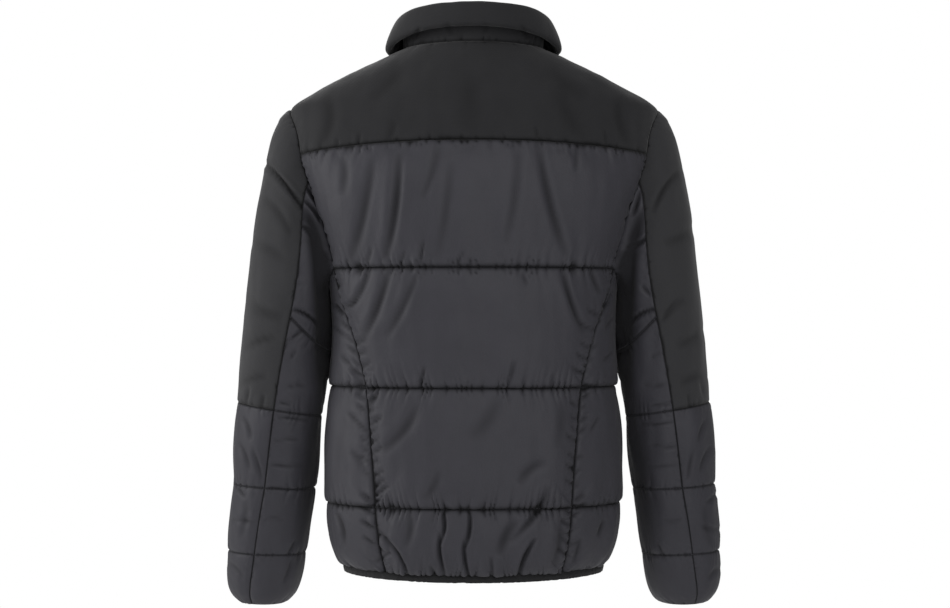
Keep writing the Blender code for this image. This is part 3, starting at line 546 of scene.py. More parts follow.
def pleats(along, spacing, seed):
    # rounded bulges with narrow valleys between them, unevenly spaced
    phase = np.array(pleating["phases"]) * (1 + seed * pleating["seedShift"])
    u = along / spacing
    sway = pleating["sway"] * np.sin(u * 2 * math.pi / pleating["swayEvery"] + phase[0])
    jitter = pleating["jitter"] * np.sin(u * 2 * math.pi / pleating["jitterEvery"] + phase[1])
    u = u + sway + jitter
    fade = np.sin(u * 2 * math.pi / pleating["fadeEvery"] + phase[2])
    strength = pleating["steady"] + pleating["fade"] * fade
    return (np.abs(np.sin(math.pi * u)) ** pleating["roundness"] - pleating["middle"]) * strength


def raisePoints(piece, sheet, height):
    moved = sheet["points"] + sheet["normals"] * height[:, None]
    piece.data.vertices.foreach_set("co", moved.reshape(-1))
    piece.data.update()


# the gathers before the filling: how fast they rise, how far they run out, and where the cloth is slack
gathering = {
    "rise": 0.003, "reachMean": 0.75, "reachSwing": 0.45, "reachEvery": 1.3,
    "slackLeast": 0.12, "slackMore": 0.88,
}


def gatherSeams(piece, look, seed):
    # the cloth is gathered by its stitching: small puckers that run out into the channel
    sheet = readOuter(piece)
    away, along, _ = nearStitching(piece, sheet)
    free = sheet["outer"] & ~sheet["stitched"]
    rise = 1 - np.exp(-away / gathering["rise"])
    pucker = pleats(along + look["slant"] * away, look["puckerSpacing"], seed)
    swing = np.sin(along / look["puckerSpacing"] * gathering["reachEvery"] + seed)
    reach = look["puckerReach"] * (gathering["reachMean"] + gathering["reachSwing"] * swing)
    height = look["puckerHeight"] * pucker * rise * np.exp(-((away / reach) ** 2))
    height[~free] = 0.0
    raisePoints(piece, sheet, height)
    pinned = piece.vertex_groups.new(name="pinned")
    pinned.add([int(i) for i in np.nonzero(~free)[0]], 1.0, "REPLACE")
    slack = piece.vertex_groups.new(name="slack")
    for i in np.nonzero(free)[0]:
        near = math.exp(-((away[i] / look["slackReach"]) ** 2))
        slack.add([int(i)], float(gathering["slackLeast"] + gathering["slackMore"] * near), "REPLACE")


def addFilling(piece, look):
    modifier = piece.modifiers.new("filling", "CLOTH")
    cloth = modifier.settings
    cloth.quality = filling["quality"]
    cloth.mass = filling["mass"]
    cloth.tension_stiffness = filling["stiffness"]
    cloth.compression_stiffness = filling["stiffness"]
    cloth.shear_stiffness = filling["stiffness"] / 3
    cloth.bending_stiffness = look["bending"]
    cloth.air_damping = filling["damping"]
    cloth.use_pressure = True
    cloth.uniform_pressure_force = filling["pressure"]
    cloth.vertex_group_mass = "pinned"
    cloth.vertex_group_shrink = "slack"
    cloth.shrink_min = 0.0
    cloth.shrink_max = -look["slack"]
    cloth.effector_weights.gravity = 0
    modifier.collision_settings.use_collision = False
    modifier.point_cache.frame_start = 1
    modifier.point_cache.frame_end = filling["frames"]


def fillPieces(pieces):
    # all the padded pieces are blown out together, then each keeps its own shape up to its cap
    scene = bpy.context.scene
    scene.frame_start, scene.frame_end = 1, filling["frames"]
    for piece, look in pieces:
        addFilling(piece, look)
    for number in range(1, filling["frames"] + 1):
        scene.frame_set(number)
    depsgraph = bpy.context.evaluated_depsgraph_get()
    for piece, look in pieces:
        start = readOuter(piece)["points"]
        filled = np.zeros(len(start) * 3)
        piece.evaluated_get(depsgraph).data.vertices.foreach_get("co", filled)
        move = filled.reshape(-1, 3) - start
        length = np.linalg.norm(move, axis=1)
        kept = look["cap"] * np.tanh(length / look["cap"])
        moved = start + move * (kept / np.maximum(length, 1e-9))[:, None]
        piece.modifiers.remove(piece.modifiers["filling"])
        piece.data.vertices.foreach_set("co", moved.reshape(-1))
        piece.data.update()
    scene.frame_set(1)


def seenAt(points):
    # where the photograph's camera sees each point, in its pixels
    distance = view["place"][1] - points[:, 1]
    scale = view["focalPixels"] / distance
    column = view["middleColumn"] - (points[:, 0] - view["place"][0]) * scale
    row = view["eyeRow"] - (points[:, 2] - view["place"][2]) * scale
    return column, row


creasing = {
    "width": 0.85, "depth": 0.00122, "taper": 0.6, "keepOff": 0.003,
    "ridge": 0.22, "ridgeAway": 1.9, "ridgeWidth": 1.3, "broad": 7.5,  # a broad trough heaps up no ridge
}


def creaseField(columns, rows, creases):
    # troughs drawn by a table: from and to, bow and half width in pixels, and depth; creasing scales them
    height = np.zeros(len(columns))
    for fromX, fromY, toX, toY, bow, wide, depth in creases:
        halfWidth = wide * creasing["width"]
        runX, runY = toX - fromX, toY - fromY
        length = math.hypot(runX, runY)
        offX, offY = columns - fromX, rows - fromY
        t = (offX * runX + offY * runY) / length**2
        arch = np.sin(math.pi * np.clip(t, 0, 1))
        aside = (offX * runY - offY * runX) / length - bow * arch
        trough = np.exp(-((aside / halfWidth) ** 2))
        away, spread = creasing["ridgeAway"] * halfWidth, creasing["ridgeWidth"] * halfWidth
        ridge = np.exp(-(((aside - away) / spread) ** 2)) + np.exp(-(((aside + away) / spread) ** 2))
        heaped = creasing["ridge"] * ridge if wide < creasing["broad"] else 0.0
        height += arch ** creasing["taper"] * depth * creasing["depth"] * (heaped - trough)
    return height


# soft hollows, longer up and down than across, in waves for each metre
hollows = {"across": 26, "down": 8, "shift": 7.1}
fineHollows = {"across": 62, "down": 21, "shift": 3.3, "share": 0.45}


def unevenness(points, wanted, seed):
    height = np.zeros(len(points))
    across, fineAcross = hollows["across"], fineHollows["across"]
    shift, fineShift = seed * hollows["shift"], seed * fineHollows["shift"]
    for i in np.nonzero(wanted)[0]:
        x, y, z = points[i]
        spot = Vector((x * across + shift, y * across, z * hollows["down"]))
        fineSpot = Vector((x * fineAcross, y * fineAcross + fineShift, z * fineHollows["down"]))
        height[i] = noise.noise(spot) + fineHollows["share"] * noise.noise(fineSpot)
    return height


swelling = {
    "liningShare": 0.75,  # no trough goes deeper than this share of the way to the inner sheet
    "seamLevel": 0.4, "lineLevel": 0.6,  # a seam that runs up and down lies flatter than a quilted line
    "reachMean": 0.7, "reachSwing": 0.6, "reachEvery": 1.9, "foldFade": 1.6, "pleatShare": 0.5,
    # painted shade: how far it runs into pucker valleys, its strength beside the stitching, and in folds of
    # this depth
    "valleyReach": 2.2, "paintedShadeMost": 0.95, "paintedShadeLess": 0.5, "foldDepth": 0.0040, "foldDark": 0.8,
    "turn": 3.0, "overEdge": 0.5,  # how the creases fade where the cloth turns away from its table's side
    "sidewaysMost": 1.3, "sidewaysTurn": 2,
}


def stopAtLining(piece, sheet, height):
    lining = [tuple(p.vertices) for p in piece.data.polygons if p.material_index == sheetInner]
    if lining:
        under = BVHTree.FromPolygons(sheet["points"].tolist(), lining)
        for i in np.nonzero(sheet["outer"] & (height < 0))[0]:
            wall = under.find_nearest(sheet["points"][i])[3]
            height[i] = max(height[i], -swelling["liningShare"] * wall)


def finishSwell(piece, look):
    # the narrow groove at each stitched line, and the listed creases
    sheet = readOuter(piece)
    away, along, over = nearStitching(piece, sheet)
    free = sheet["outer"] & ~sheet["stitched"]
    rise = 1 - np.exp(-away / look["grooveWidth"])
    pucker = pleats(along + look["slant"] * away, look["puckerSpacing"], look["seed"])
    swing = np.sin(along / look["puckerSpacing"] * swelling["reachEvery"] + look["seed"]) ** 2
    reach = look["foldReach"] * (swelling["reachMean"] + swelling["reachSwing"] * swing)
    # the down sinks, so the cloth hangs over the line below it
    sunk = 1 + look["sag"] * np.clip(over, -1, 1)
    level = swelling["seamLevel"] + swelling["lineLevel"] * np.clip(np.abs(over), 0, 1)
    height = look["shoulder"] * rise * np.exp(-away / look["shoulderReach"])
    height = height * (1 + swelling["pleatShare"] * pucker) * sunk * level
    height += look["foldHeight"] * pucker * rise * np.exp(-((away / reach) ** swelling["foldFade"]))
    height += look["uneven"] * rise * unevenness(sheet["points"], sheet["outer"], look["seed"])
    columns, rows = seenAt(sheet["points"])
    backwards = sheet["normals"][:, 1]
    behind = np.clip(backwards * swelling["turn"] + swelling["overEdge"], 0, 1)
    inFront = np.clip(-backwards * swelling["turn"], 0, 1)
    keep = np.clip(away / creasing["keepOff"], 0, 1)
    folds = creaseField(columns, rows, look["creases"]) * behind
    folds += creaseField(columns, rows, look["frontCreases"]) * inFront
    height += folds * keep
    height[~free] = 0.0
    # the sleeve's inner side swells until it rests against the body
    sideways = np.clip(swelling["sidewaysMost"] - swelling["sidewaysTurn"] * np.abs(backwards), 0, 1)
    height += creaseField(columns, rows, look["rests"]) * sideways * sheet["outer"]
    stopAtLining(piece, sheet, height)
    raisePoints(piece, sheet, height)
    # a mask of painted shade, which the cloth material darkens by
    paintedShadeMask = piece.data.attributes.new("paintedShadeMask", "FLOAT", "POINT")
    atRim = np.zeros(len(away), bool)
    for polygon in piece.data.polygons:
        if polygon.material_index == sheetRim:
            atRim[list(polygon.vertices)] = True
    # painted shade along the stitching: each pucker's valley stays dark a little way into the channel
    paintedShade = look["paintedShade"] * level * (1 + swelling["valleyReach"] * np.clip(-pucker, 0, 1))
    atStitching = np.exp(-((away / paintedShade) ** 2)) * (swelling["paintedShadeMost"] - swelling["paintedShadeLess"] * pucker)
    # painted shade in the listed folds, darker where they are deeper
    inFolds = np.clip(-folds / swelling["foldDepth"], 0, 1) * swelling["foldDark"]
    dark = np.where(sheet["outer"], atStitching, 0.0) + np.where(sheet["outer"], inFolds, 0.0)
    # painted shade on the rims at the seams, as strong as rimDark
    paintedShadeMask.data.foreach_set("value", np.clip(np.where(atRim, look["rimDark"], dark), 0, 1))


def stitchedLines(piece):
    # the points along each quilted line, in order
    sheet = readOuter(piece)
    stitched, sides, neighbours = sheet["stitched"], {}, {}
    for polygon in piece.data.polygons:
        if polygon.material_index == sheetOuter:
            between = not all(stitched[i] for i in polygon.vertices)
            for key in polygon.edge_keys:
                sides.setdefault(key, []).append(between)
    for (a, b), between in sides.items():
        if between == [True, True] and stitched[a] and stitched[b]:
            neighbours.setdefault(a, []).append(b)
            neighbours.setdefault(b, []).append(a)
    lines, seen = [], set()
    for start in [i for i in neighbours if len(neighbours[i]) == 1] + list(neighbours):
        if start in seen:
            continue
        run = [start]
        seen.add(start)
        while True:
            onward = [j for j in neighbours[run[-1]] if j not in seen]
            if not onward:
                break
            run.append(onward[0])
            seen.add(onward[0])
        if len(run) > stitch["shortestLine"]:
            lines.append([(Vector(sheet["points"][i]), Vector(sheet["normals"][i])) for i in run])
    return lines


def finishCloth(piece, nodeName, slotName):
    for polygon in piece.data.polygons:
        polygon.material_index = 0
    piece.data.materials.clear()
    # the matt sleeves take the copy painted lighter, painted light for the side light on them
    onSleeve = slotName == "matte_shell" and nodeName.startswith("sleeve")
    piece.data.materials.append(materials["matte_sleeve" if onSleeve else slotName])
    piece.vertex_groups.clear()
    smoothShade(piece, meshing["smoothAngle"])
    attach(piece, "jacket")
    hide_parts(nodeName)


# the middle lines that a piece's inner sheet faces
bodyTop = -0.25
sleeveAxis = {"top": -0.08, "run": -0.63, "aside": 0.215, "slant": 0.055, "bend": -0.05}


def axisOfBody(point):
    return Vector((0, 0, min(point.z, bodyTop)))


def axisOfSleeve(point):
    side = 1 if point.x > 0 else -1
    down = (point.z - sleeveAxis["top"]) / sleeveAxis["run"]
    aside = sleeveAxis["aside"] + sleeveAxis["slant"] * down
    return Vector((side * aside, sleeveAxis["bend"] * down * down, point.z))


def startCloth(nodeName, slotName, insidePoint, look, seed):
    piece = copyNode(nodeName, nodeName.replace("_", "-") + "-cloth")
    bm = bmesh.new()
    bm.from_mesh(piece.data)
    if insidePoint:
        sortSheets(bm, insidePoint)
    else:
        sortCollar(bm)
    bm.faces.ensure_lookup_table()
    markStitching(bm, piece)
    bm.to_mesh(piece.data)
    bm.free()
    refine(piece, meshing["levels"])
    gatherSeams(piece, look, seed)
    return {"piece": piece, "node": nodeName, "slot": slotName, "look": {**look, "seed": seed}}


# short uneven creases on both sides of a seam; "uneven" runs from 0 to 1 along it
seamPucker = {"bow": 0.5, "halfWidth": 2.5, "inner": 0.6, "outer": 0.8, "innerFrom": 0.25, "outerTo": 0.75}


def seamPuckers(path, every, length, depth):
    creases, carried = [], 0.0
    bow, wide = seamPucker["bow"], seamPucker["halfWidth"]
    for (fromX, fromY), (toX, toY) in zip(path, path[1:]):
        run = math.hypot(toX - fromX, toY - fromY)
        while carried < run:
            x = fromX + (toX - fromX) * carried / run
            y = fromY + (toY - fromY) * carried / run
            uneven = math.sin(y * 12.9898) * 43758.5453 % 1  # jumps about, but is the same in each run
            if uneven > seamPucker["innerFrom"]:
                reach = length * (0.55 + 0.75 * uneven)
                deep = depth * (0.5 + 0.7 * uneven)
                creases.append((x + 1, y + 1, x - reach, y - seamPucker["inner"] * reach, bow, wide, deep))
            if uneven < seamPucker["outerTo"]:
                reach = length * (1.3 - uneven)
                deep = depth * (1.1 - 0.6 * uneven)
                creases.append((x - 1, y + 4, x + reach, y + 4 - seamPucker["outer"] * reach, bow, wide, deep))
            carried += every * (0.6 + 0.9 * uneven)
        carried -= run
    return creases


princessSeam = [(345, 306), (353, 327), (366, 384), (370, 440), (374, 505), (378, 560)]
mirroredSeam = [(view["mirrorSum"] - x, y) for x, y in princessSeam]
princessPuckers = seamPuckers(princessSeam, 11.0, 12.0, 2.2) + seamPuckers(mirroredSeam, 12.0, 10.0, 2.0)

# the back: quilted satin below a plain matt yoke
backLook = {
    # the gathers: how they lean, their height and spacing, and how far they run into the channel
    "slant": 0.25, "puckerHeight": 0.0030, "puckerSpacing": 0.0112, "puckerReach": 0.019,
    # the filling: spare cloth and where it is, how stiffly it bends, and the most that it may swell
    "slack": 0.16, "slackReach": 0.020, "bending": 0.04, "cap": 0.0055,
    # the groove at the stitching and the swell beside it, and how full the piece is
    "grooveWidth": 0.0022, "shoulder": 0.0046, "shoulderReach": 0.015, "fill": 0.6,
    # folds that leave the stitching, soft hollows, how far the down sinks, and the width of the painted shade
    # at the stitching
    "foldHeight": 0.0034, "foldReach": 0.011, "uneven": 0.0026, "sag": 0.45, "paintedShade": 0.0040,
    # from x, y to x, y, bow, half width, depth
    "creases": [
        (373, 158, 351, 266, 1.5, 5.5, 2.4), (400, 152, 385, 264, 2.5, 5.0, 3.0),
        (439, 146, 422, 200, 2, 5.0, 1.4), (451, 160, 437, 262, 2, 6.0, 1.4),
        (519, 150, 505, 246, 3, 5.5, 1.3), (539, 144, 567, 258, -3, 4.5, 2.6),
        (576, 143, 577, 172, 0, 3.0, 1.6), (343, 156, 342, 196, 2, 5.0, 1.6),
        (424, 240, 420, 264, 0, 2.2, 2.2), (372, 246, 369, 264, 0, 2.0, 1.6),
        (405, 250, 402, 265, 0, 2.0, 1.8), (464, 250, 458, 264, 0, 2.2, 1.8),
        (371, 268, 349, 312, 1, 3.5, 2.6), (390, 268, 363, 340, 2, 4.5, 3.0),
        (418, 274, 386, 338, 1.5, 4.5, 2.2), (522, 272, 528, 286, 0, 2.2, 1.4),
        (561, 268, 586, 335, -2.5, 3.5, 3.4), (590, 269, 601, 294, 0, 3.0, 2.4),
        (425, 366, 420, 390, 0, 2.4, 2.0), (515, 360, 508, 386, 0, 3.0, 1.4),
        (554, 372, 548, 388, 0, 2.2, 1.2), (379, 389, 366, 412, 1, 3.5, 2.2),
        (419, 404, 378, 454, 5, 6.0, 2.0), (546, 461, 519, 485, -4, 5.5, 1.8),
        (500, 396, 470, 440, 4, 8.0, 1.2), (560, 400, 556, 450, 2, 7.0, 1.1),
        (440, 470, 425, 500, 2, 5.0, 1.4), (443, 511, 440, 545, 3, 2.3, 4.0),
        (440, 530, 445, 576, -3, 2.3, 4.0), (470, 511, 465, 550, 2, 2.3, 4.0),
        (464, 538, 472, 584, -3, 2.3, 4.0), (430, 565, 438, 581, 0, 2.4, 2.0),
        (491, 556, 493, 581, 0, 2.4, 2.0), (518, 520, 499, 556, -3, 6.5, 2.4),
        (536, 538, 516, 582, -2, 2.3, 4.2), (384, 536, 411, 578, 2, 2.4, 3.4),
        (376, 528, 392, 556, 2, 3.0, 1.8), (549, 486, 511, 543, 4, 4.0, 2.6),
        (560, 520, 552, 566, 3, 4.5, 2.0), (411, 512, 406, 548, 2, 5.0, 1.8),
    ] + princessPuckers,
    "frontCreases": [], "rests": [], "rimDark": 1.0,
}
backYokeLook = {
    "slant": 0.1, "puckerHeight": 0.0010, "puckerSpacing": 0.0240, "puckerReach": 0.011,
    "slack": 0.035, "slackReach": 0.014, "bending": 0.4, "cap": 0.0022,
    "grooveWidth": 0.0016, "shoulder": 0.0012, "shoulderReach": 0.010, "fill": 0.3,
    "foldHeight": 0.0009, "foldReach": 0.011, "uneven": 0.0014, "sag": 0.0, "paintedShade": 0.0024,
    "creases": [
        (338, 138, 337, 153, 0, 2.0, 1.4), (360, 132, 358, 149, 0, 2.0, 1.4),
        (395, 120, 388, 143, 1, 4.0, 1.0), (330, 96, 322, 148, 4, 7.0, 1.6),
        (470, 70, 466, 132, 3, 12.0, 0.9), (560, 84, 585, 140, -4, 9.0, 1.1),
        (618, 96, 628, 148, -4, 7.0, 1.6), (402, 62, 372, 100, 4, 8.0, 1.2), (548, 64, 590, 98, -4, 8.0, 1.2),
        (536, 126, 538, 140, 0, 2.2, 1.2), (604, 128, 606, 147, 0, 2.4, 1.4),
    ],
    "frontCreases": [], "rests": [], "rimDark": 1.0,
}

# the sides and the front, which the photograph doesn't show, take the back's quilting
sideLook = {
    **backLook,
    "slant": -0.35, "puckerSpacing": 0.0140, "puckerReach": 0.015, "cap": 0.0045,
    "creases": [
        (333, 302, 345, 319, 0, 2.2, 2.2), (331, 326, 347, 337, 0, 2.2, 1.6),
        (340, 356, 352, 366, 0, 2.2, 1.8), (346, 412, 362, 426, 0, 2.6, 1.8),
        (337, 512, 344, 546, 2, 3.0, 2.8), (612, 293, 602, 312, 0, 2.4, 2.6),
        (614, 318, 603, 330, 0, 2.2, 1.8), (612, 352, 603, 362, 0, 2.2, 1.8),
        (600, 416, 590, 432, 0, 2.6, 1.8), (605, 519, 599, 537, 0, 3.0, 2.8),
        (580, 537, 573, 563, 1, 3.0, 2.4), (350, 450, 366, 470, 1, 3.5, 1.8),
    ] + princessPuckers,
    "frontCreases": [(350, 330, 334, 352, 0, 3.0, 2.0), (604, 420, 618, 446, 0, 3.0, 2.0)],
}
frontLook = {
    **backLook,
    "creases": [],
    "frontCreases": [
        (574, 176, 590, 262, -3, 5.0, 2.4), (545, 166, 552, 262, -3, 4.5, 2.8),
        (500, 176, 512, 240, 2, 5.5, 1.6), (420, 170, 402, 258, 3, 5.0, 2.6),
        (382, 174, 372, 236, 2, 4.5, 2.2), (446, 190, 440, 262, 1, 5.0, 1.4),
        (566, 274, 590, 330, 3, 4.5, 2.6), (520, 272, 538, 322, 3, 5.0, 2.0),
        (396, 272, 370, 334, -4, 4.0, 3.0), (430, 276, 418, 312, 0, 4.0, 1.8),
        (556, 392, 576, 430, 3, 6.0, 1.8), (404, 400, 388, 452, 3, 6.0, 1.8),
        (512, 440, 534, 484, 3, 5.0, 1.8), (398, 512, 392, 566, 3, 3.5, 2.8),
        (440, 514, 446, 572, 3, 3.5, 2.8), (520, 512, 512, 574, 3, 3.5, 2.8),
        (556, 516, 566, 562, 3, 3.5, 2.4),
    ],
}
frontYokeLook = {
    **backYokeLook,
    "creases": [],
    "frontCreases": [
        (350, 110, 338, 158, 3, 7.0, 1.6), (430, 100, 412, 150, 3, 8.0, 1.2),
        (528, 102, 544, 152, 3, 8.0, 1.2), (606, 108, 620, 156, 3, 7.0, 1.6),
    ],
}

# sleeves: matt outer part to the elbow seam, quilted satin below it and underneath
sleeveUpperLook = {
    **backYokeLook,
    "cap": 0.0030, "slack": 0.05, "puckerHeight": 0.0012, "puckerSpacing": 0.020,
    "creases": [
        (264, 162, 307, 214, 2, 2.6, 5.0), (262, 196, 292, 236, 3, 5.0, 1.8),
        (250, 240, 286, 262, 2, 7.0, 1.4), (246, 300, 284, 318, -3, 7.0, 1.8),
        (244, 348, 276, 338, 3, 5.0, 2.2), (240, 384, 268, 376, 2, 5.0, 1.8),
        (246, 404, 250, 386, 0, 2.6, 1.6), (262, 410, 264, 394, 0, 2.6, 1.6),
        (682, 168, 652, 214, -3, 4.0, 2.8), (700, 222, 664, 244, 3, 6.0, 1.8),
        (662, 322, 684, 298, 2, 3.2, 2.8), (706, 326, 676, 346, 3, 6.0, 1.8),
        (708, 374, 680, 384, -2, 5.0, 1.8), (704, 396, 700, 380, 0, 2.6, 1.4),
        (690, 410, 688, 392, 0, 2.6, 1.6),
    ],
    "frontCreases": [
        (270, 200, 306, 226, 3, 4.0, 2.6), (252, 300, 286, 290, 3, 6.0, 2.0),
        (250, 350, 280, 362, 3, 5.0, 2.0), (684, 200, 648, 228, -3, 4.0, 2.6),
        (700, 300, 668, 292, 3, 6.0, 2.0), (702, 352, 672, 364, 3, 5.0, 2.0),
    ],
    "rests": [(280, 124, 304, 103, 0, 6.0, -2.2), (667, 124, 643, 103, 0, 6.0, -2.2)],
}
sleeveLowerLook = {
    **backLook,
    "puckerSpacing": 0.0125, "puckerReach": 0.013, "puckerHeight": 0.0018, "cap": 0.0026, "slack": 0.10,
    "shoulder": 0.0018, "shoulderReach": 0.009, "foldHeight": 0.0014, "sag": 0.10, "paintedShade": 0.0014,
    "creases": [
        (243, 417, 251, 440, 1, 2.6, 2.0), (239, 442, 250, 470, 1, 2.6, 2.0),
        (252, 448, 262, 480, 1, 2.4, 1.8), (235, 486, 246, 498, 0, 2.4, 1.8),
        (230, 520, 258, 524, 1, 3.0, 1.4), (246, 500, 240, 540, 2, 4.0, 1.2),
        (228, 562, 244, 578, 1, 3.0, 1.4), (706, 420, 698, 442, -1, 2.6, 2.0),
        (712, 446, 700, 472, -1, 2.6, 2.0), (694, 450, 688, 480, -1, 2.4, 1.8),
        (718, 492, 706, 504, 0, 2.4, 1.8), (722, 530, 700, 526, 1, 3.0, 1.4),
        (706, 504, 712, 546, -2, 4.0, 1.2), (722, 566, 708, 580, -1, 3.0, 1.4),
    ],
    "frontCreases": [
        (236, 440, 262, 452, 2, 4.0, 2.2), (226, 510, 250, 500, 2, 4.0, 2.2),
        (714, 440, 690, 452, 2, 4.0, 2.2), (724, 510, 700, 500, 2, 4.0, 2.2),
    ],
}
sleeveUnderLook = {
    **sleeveLowerLook,
    "creases": [
        # tucked in beside the body
        (306, 206, 325, 300, 3, 8.5, 5.4), (324, 250, 326, 400, 0, 10.0, 6.5),
        (643, 206, 625, 300, -3, 8.0, 4.4), (624, 250, 622, 400, 0, 10.0, 6.5),
        (319, 392, 300, 600, 0, 13.0, 2.2), (631, 392, 650, 600, 0, 13.0, 2.2),
        (304, 184, 316, 204, 1, 2.0, 4.6), (304, 200, 321, 222, 2, 2.0, 4.8),
        (298, 224, 314, 238, 2, 2.2, 4.4), (292, 309, 320, 327, 3, 2.0, 4.8),
        (290, 276, 300, 277, 0, 1.8, 1.8), (304, 330, 292, 338, 0, 2.0, 2.4),
        (290, 358, 296, 352, 0, 2.0, 1.8), (284, 388, 310, 386, 1, 2.2, 1.6),
        (279, 403, 293, 404, 0, 1.8, 2.0), (277, 418, 308, 421, 1, 1.8, 2.2),
        (273, 441, 300, 441, 1, 1.8, 1.8), (269, 466, 304, 465, 0, 1.8, 2.2),
        (268, 487, 290, 490, 0, 1.8, 2.0), (264, 519, 284, 520, 1, 1.8, 1.8),
        (296, 540, 286, 556, 1, 2.4, 1.8), (292, 560, 284, 584, 1, 3.0, 1.6),
        (653, 231, 627, 248, 3, 2.4, 4.0), (661, 308, 625, 327, -4, 2.4, 4.4),
        (641, 286, 651, 296, 0, 2.2, 2.4), (640, 190, 632, 216, 1, 2.4, 3.4),
        (664, 352, 650, 358, 1, 2.2, 1.8), (668, 384, 642, 386, 1, 2.2, 1.6),
        (671, 404, 650, 406, 0, 1.8, 2.0), (674, 422, 640, 424, 1, 1.8, 2.0),
        (678, 446, 650, 445, 1, 1.8, 1.8), (682, 466, 646, 468, 0, 1.8, 2.0),
        (682, 520, 662, 521, 1, 1.8, 1.8), (656, 542, 664, 560, 1, 2.4, 1.8),
    ],
    "rests": [(326, 282, 326, 380, 0, 8.0, -7.0), (622, 282, 622, 380, 0, 8.0, -7.0)],
}

# the turned-down collar
collarLook = {
    "slant": 0.2, "puckerHeight": 0.0014, "puckerSpacing": 0.0170, "puckerReach": 0.012,
    "slack": 0.05, "slackReach": 0.014, "bending": 0.3, "cap": 0.0022,
    "grooveWidth": 0.0016, "shoulder": 0.0010, "shoulderReach": 0.010, "fill": 0.4,
    "foldHeight": 0.0008, "foldReach": 0.010, "uneven": 0.0008, "sag": 0.0, "paintedShade": 0.0024,
    "creases": [
        (420, 26, 414, 40, 1, 3.0, 1.4), (446, 22, 452, 36, 1, 4.0, 1.0), (520, 24, 528, 40, 1, 3.5, 1.4),
        (486, 22, 484, 34, 1, 4.0, 0.9),
    ],
    "frontCreases": [], "rests": [], "rimDark": 0.3,
}

cloths = [
    startCloth("back_panel", "satin_shell", axisOfBody, backLook, 1),
    startCloth("back_yoke", "matte_shell", axisOfBody, backYokeLook, 2),
    startCloth("collar", "matte_shell", None, collarLook, 9),
]
for i, side in enumerate(("left", "right")):
    cloths += [
        startCloth("side_panel_" + side, "satin_shell", axisOfBody, sideLook, 3 + 0.3 * i),
        startCloth("front_panel_" + side, "satin_shell", axisOfBody, frontLook, 4 + 0.3 * i),
        startCloth("front_yoke_" + side, "matte_shell", axisOfBody, frontYokeLook, 5 + 0.3 * i),
        startCloth("sleeve_upper_" + side, "matte_shell", axisOfSleeve, sleeveUpperLook, 6 + 0.3 * i),
        startCloth("sleeve_lower_" + side, "satin_shell", axisOfSleeve, sleeveLowerLook, 7 + 0.3 * i),
        startCloth("sleeve_under_" + side, "satin_shell", axisOfSleeve, sleeveUnderLook, 8 + 0.3 * i),
    ]
print("padded pieces are gathered along their seams")

fillPieces([(cloth["piece"], cloth["look"]) for cloth in cloths])
print("padded pieces are filled")

stitch = {
    "sides": 6, "radius": 0.00032, "length": 0.0026, "bevel": 0.0002, "pitch": 0.0038, "proud": 0.00015,
    "shortestLine": 8, "smoothAngle": 40,  # a line with fewer points isn't sewn
}
quiltLines = []
for cloth in cloths:
    refineOuter(cloth["piece"])
    finishSwell(cloth["piece"], cloth["look"])
    if cloth["slot"] == "satin_shell":
        quiltLines += stitchedLines(cloth["piece"])
    finishCloth(cloth["piece"], cloth["node"], cloth["slot"])
    print(cloth["node"], "is finished:", len(cloth["piece"].data.polygons), "faces")


def bevelEdges(offset):
    bpy.ops.object.mode_set(mode="EDIT")
    bpy.ops.mesh.select_all(action="SELECT")
    bpy.ops.mesh.bevel(offset=offset, segments=1, affect="EDGES")
    bpy.ops.object.mode_set(mode="OBJECT")


def makeStitch():
    # one short length of thread, thinner at both ends
    deselectAll()
    bpy.ops.mesh.primitive_cylinder_add(
        vertices=stitch["sides"], radius=stitch["radius"], depth=stitch["length"],
    )
    thread = bpy.context.object
    bevelEdges(stitch["bevel"])
    return thread


def evenPlaces(line, pitch):
    # places at even spacing along a line of (point, normal), each with its direction
    places, carried = [], 0.0
    for (a, normalA), (b, normalB) in zip(line, line[1:]):
        run = b - a
        length = run.length
        while carried < length:
            f = carried / length
            places.append((a.lerp(b, f), normalA.lerp(normalB, f).normalized(), run.normalized()))
            carried += pitch
        carried -= length
    return places


def copyTo(model, name, places, smoothAngle):
    # one mesh with a copy of the model at each place: (point, outward, direction)
    base = np.array([v.co[:] for v in model.data.vertices])
    faces = [tuple(p.vertices) for p in model.data.polygons]
    points, polygons = [], []
    for point, outward, direction in places:
        aside = outward.cross(direction).normalized()
        outward = direction.cross(aside).normalized()
        turn = np.array([aside[:], outward[:], direction[:]])
        start = len(points) * len(base)
        points.append(base @ turn + np.array(point[:]))
        polygons += [tuple(start + i for i in face) for face in faces]
    mesh = bpy.data.meshes.new(name)
    mesh.from_pydata(np.concatenate(points).tolist(), [], polygons)
    piece = meshPiece(name, mesh)
    smoothShade(piece, smoothAngle)
    bpy.data.objects.remove(model)
    return piece


def giveMaterial(piece, slotName):
    piece.data.materials.clear()
    piece.data.materials.append(materials[slotName])
    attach(piece, "jacket")


stitchPlaces = []
for line in quiltLines:
    for point, normal, direction in evenPlaces(line, stitch["pitch"]):
        stitchPlaces.append((point + normal * stitch["proud"], normal, direction))
threads = copyTo(makeStitch(), "quilting-thread", stitchPlaces, stitch["smoothAngle"])
giveMaterial(threads, "satin_shell")
print("quilting thread:", len(stitchPlaces), "stitches")

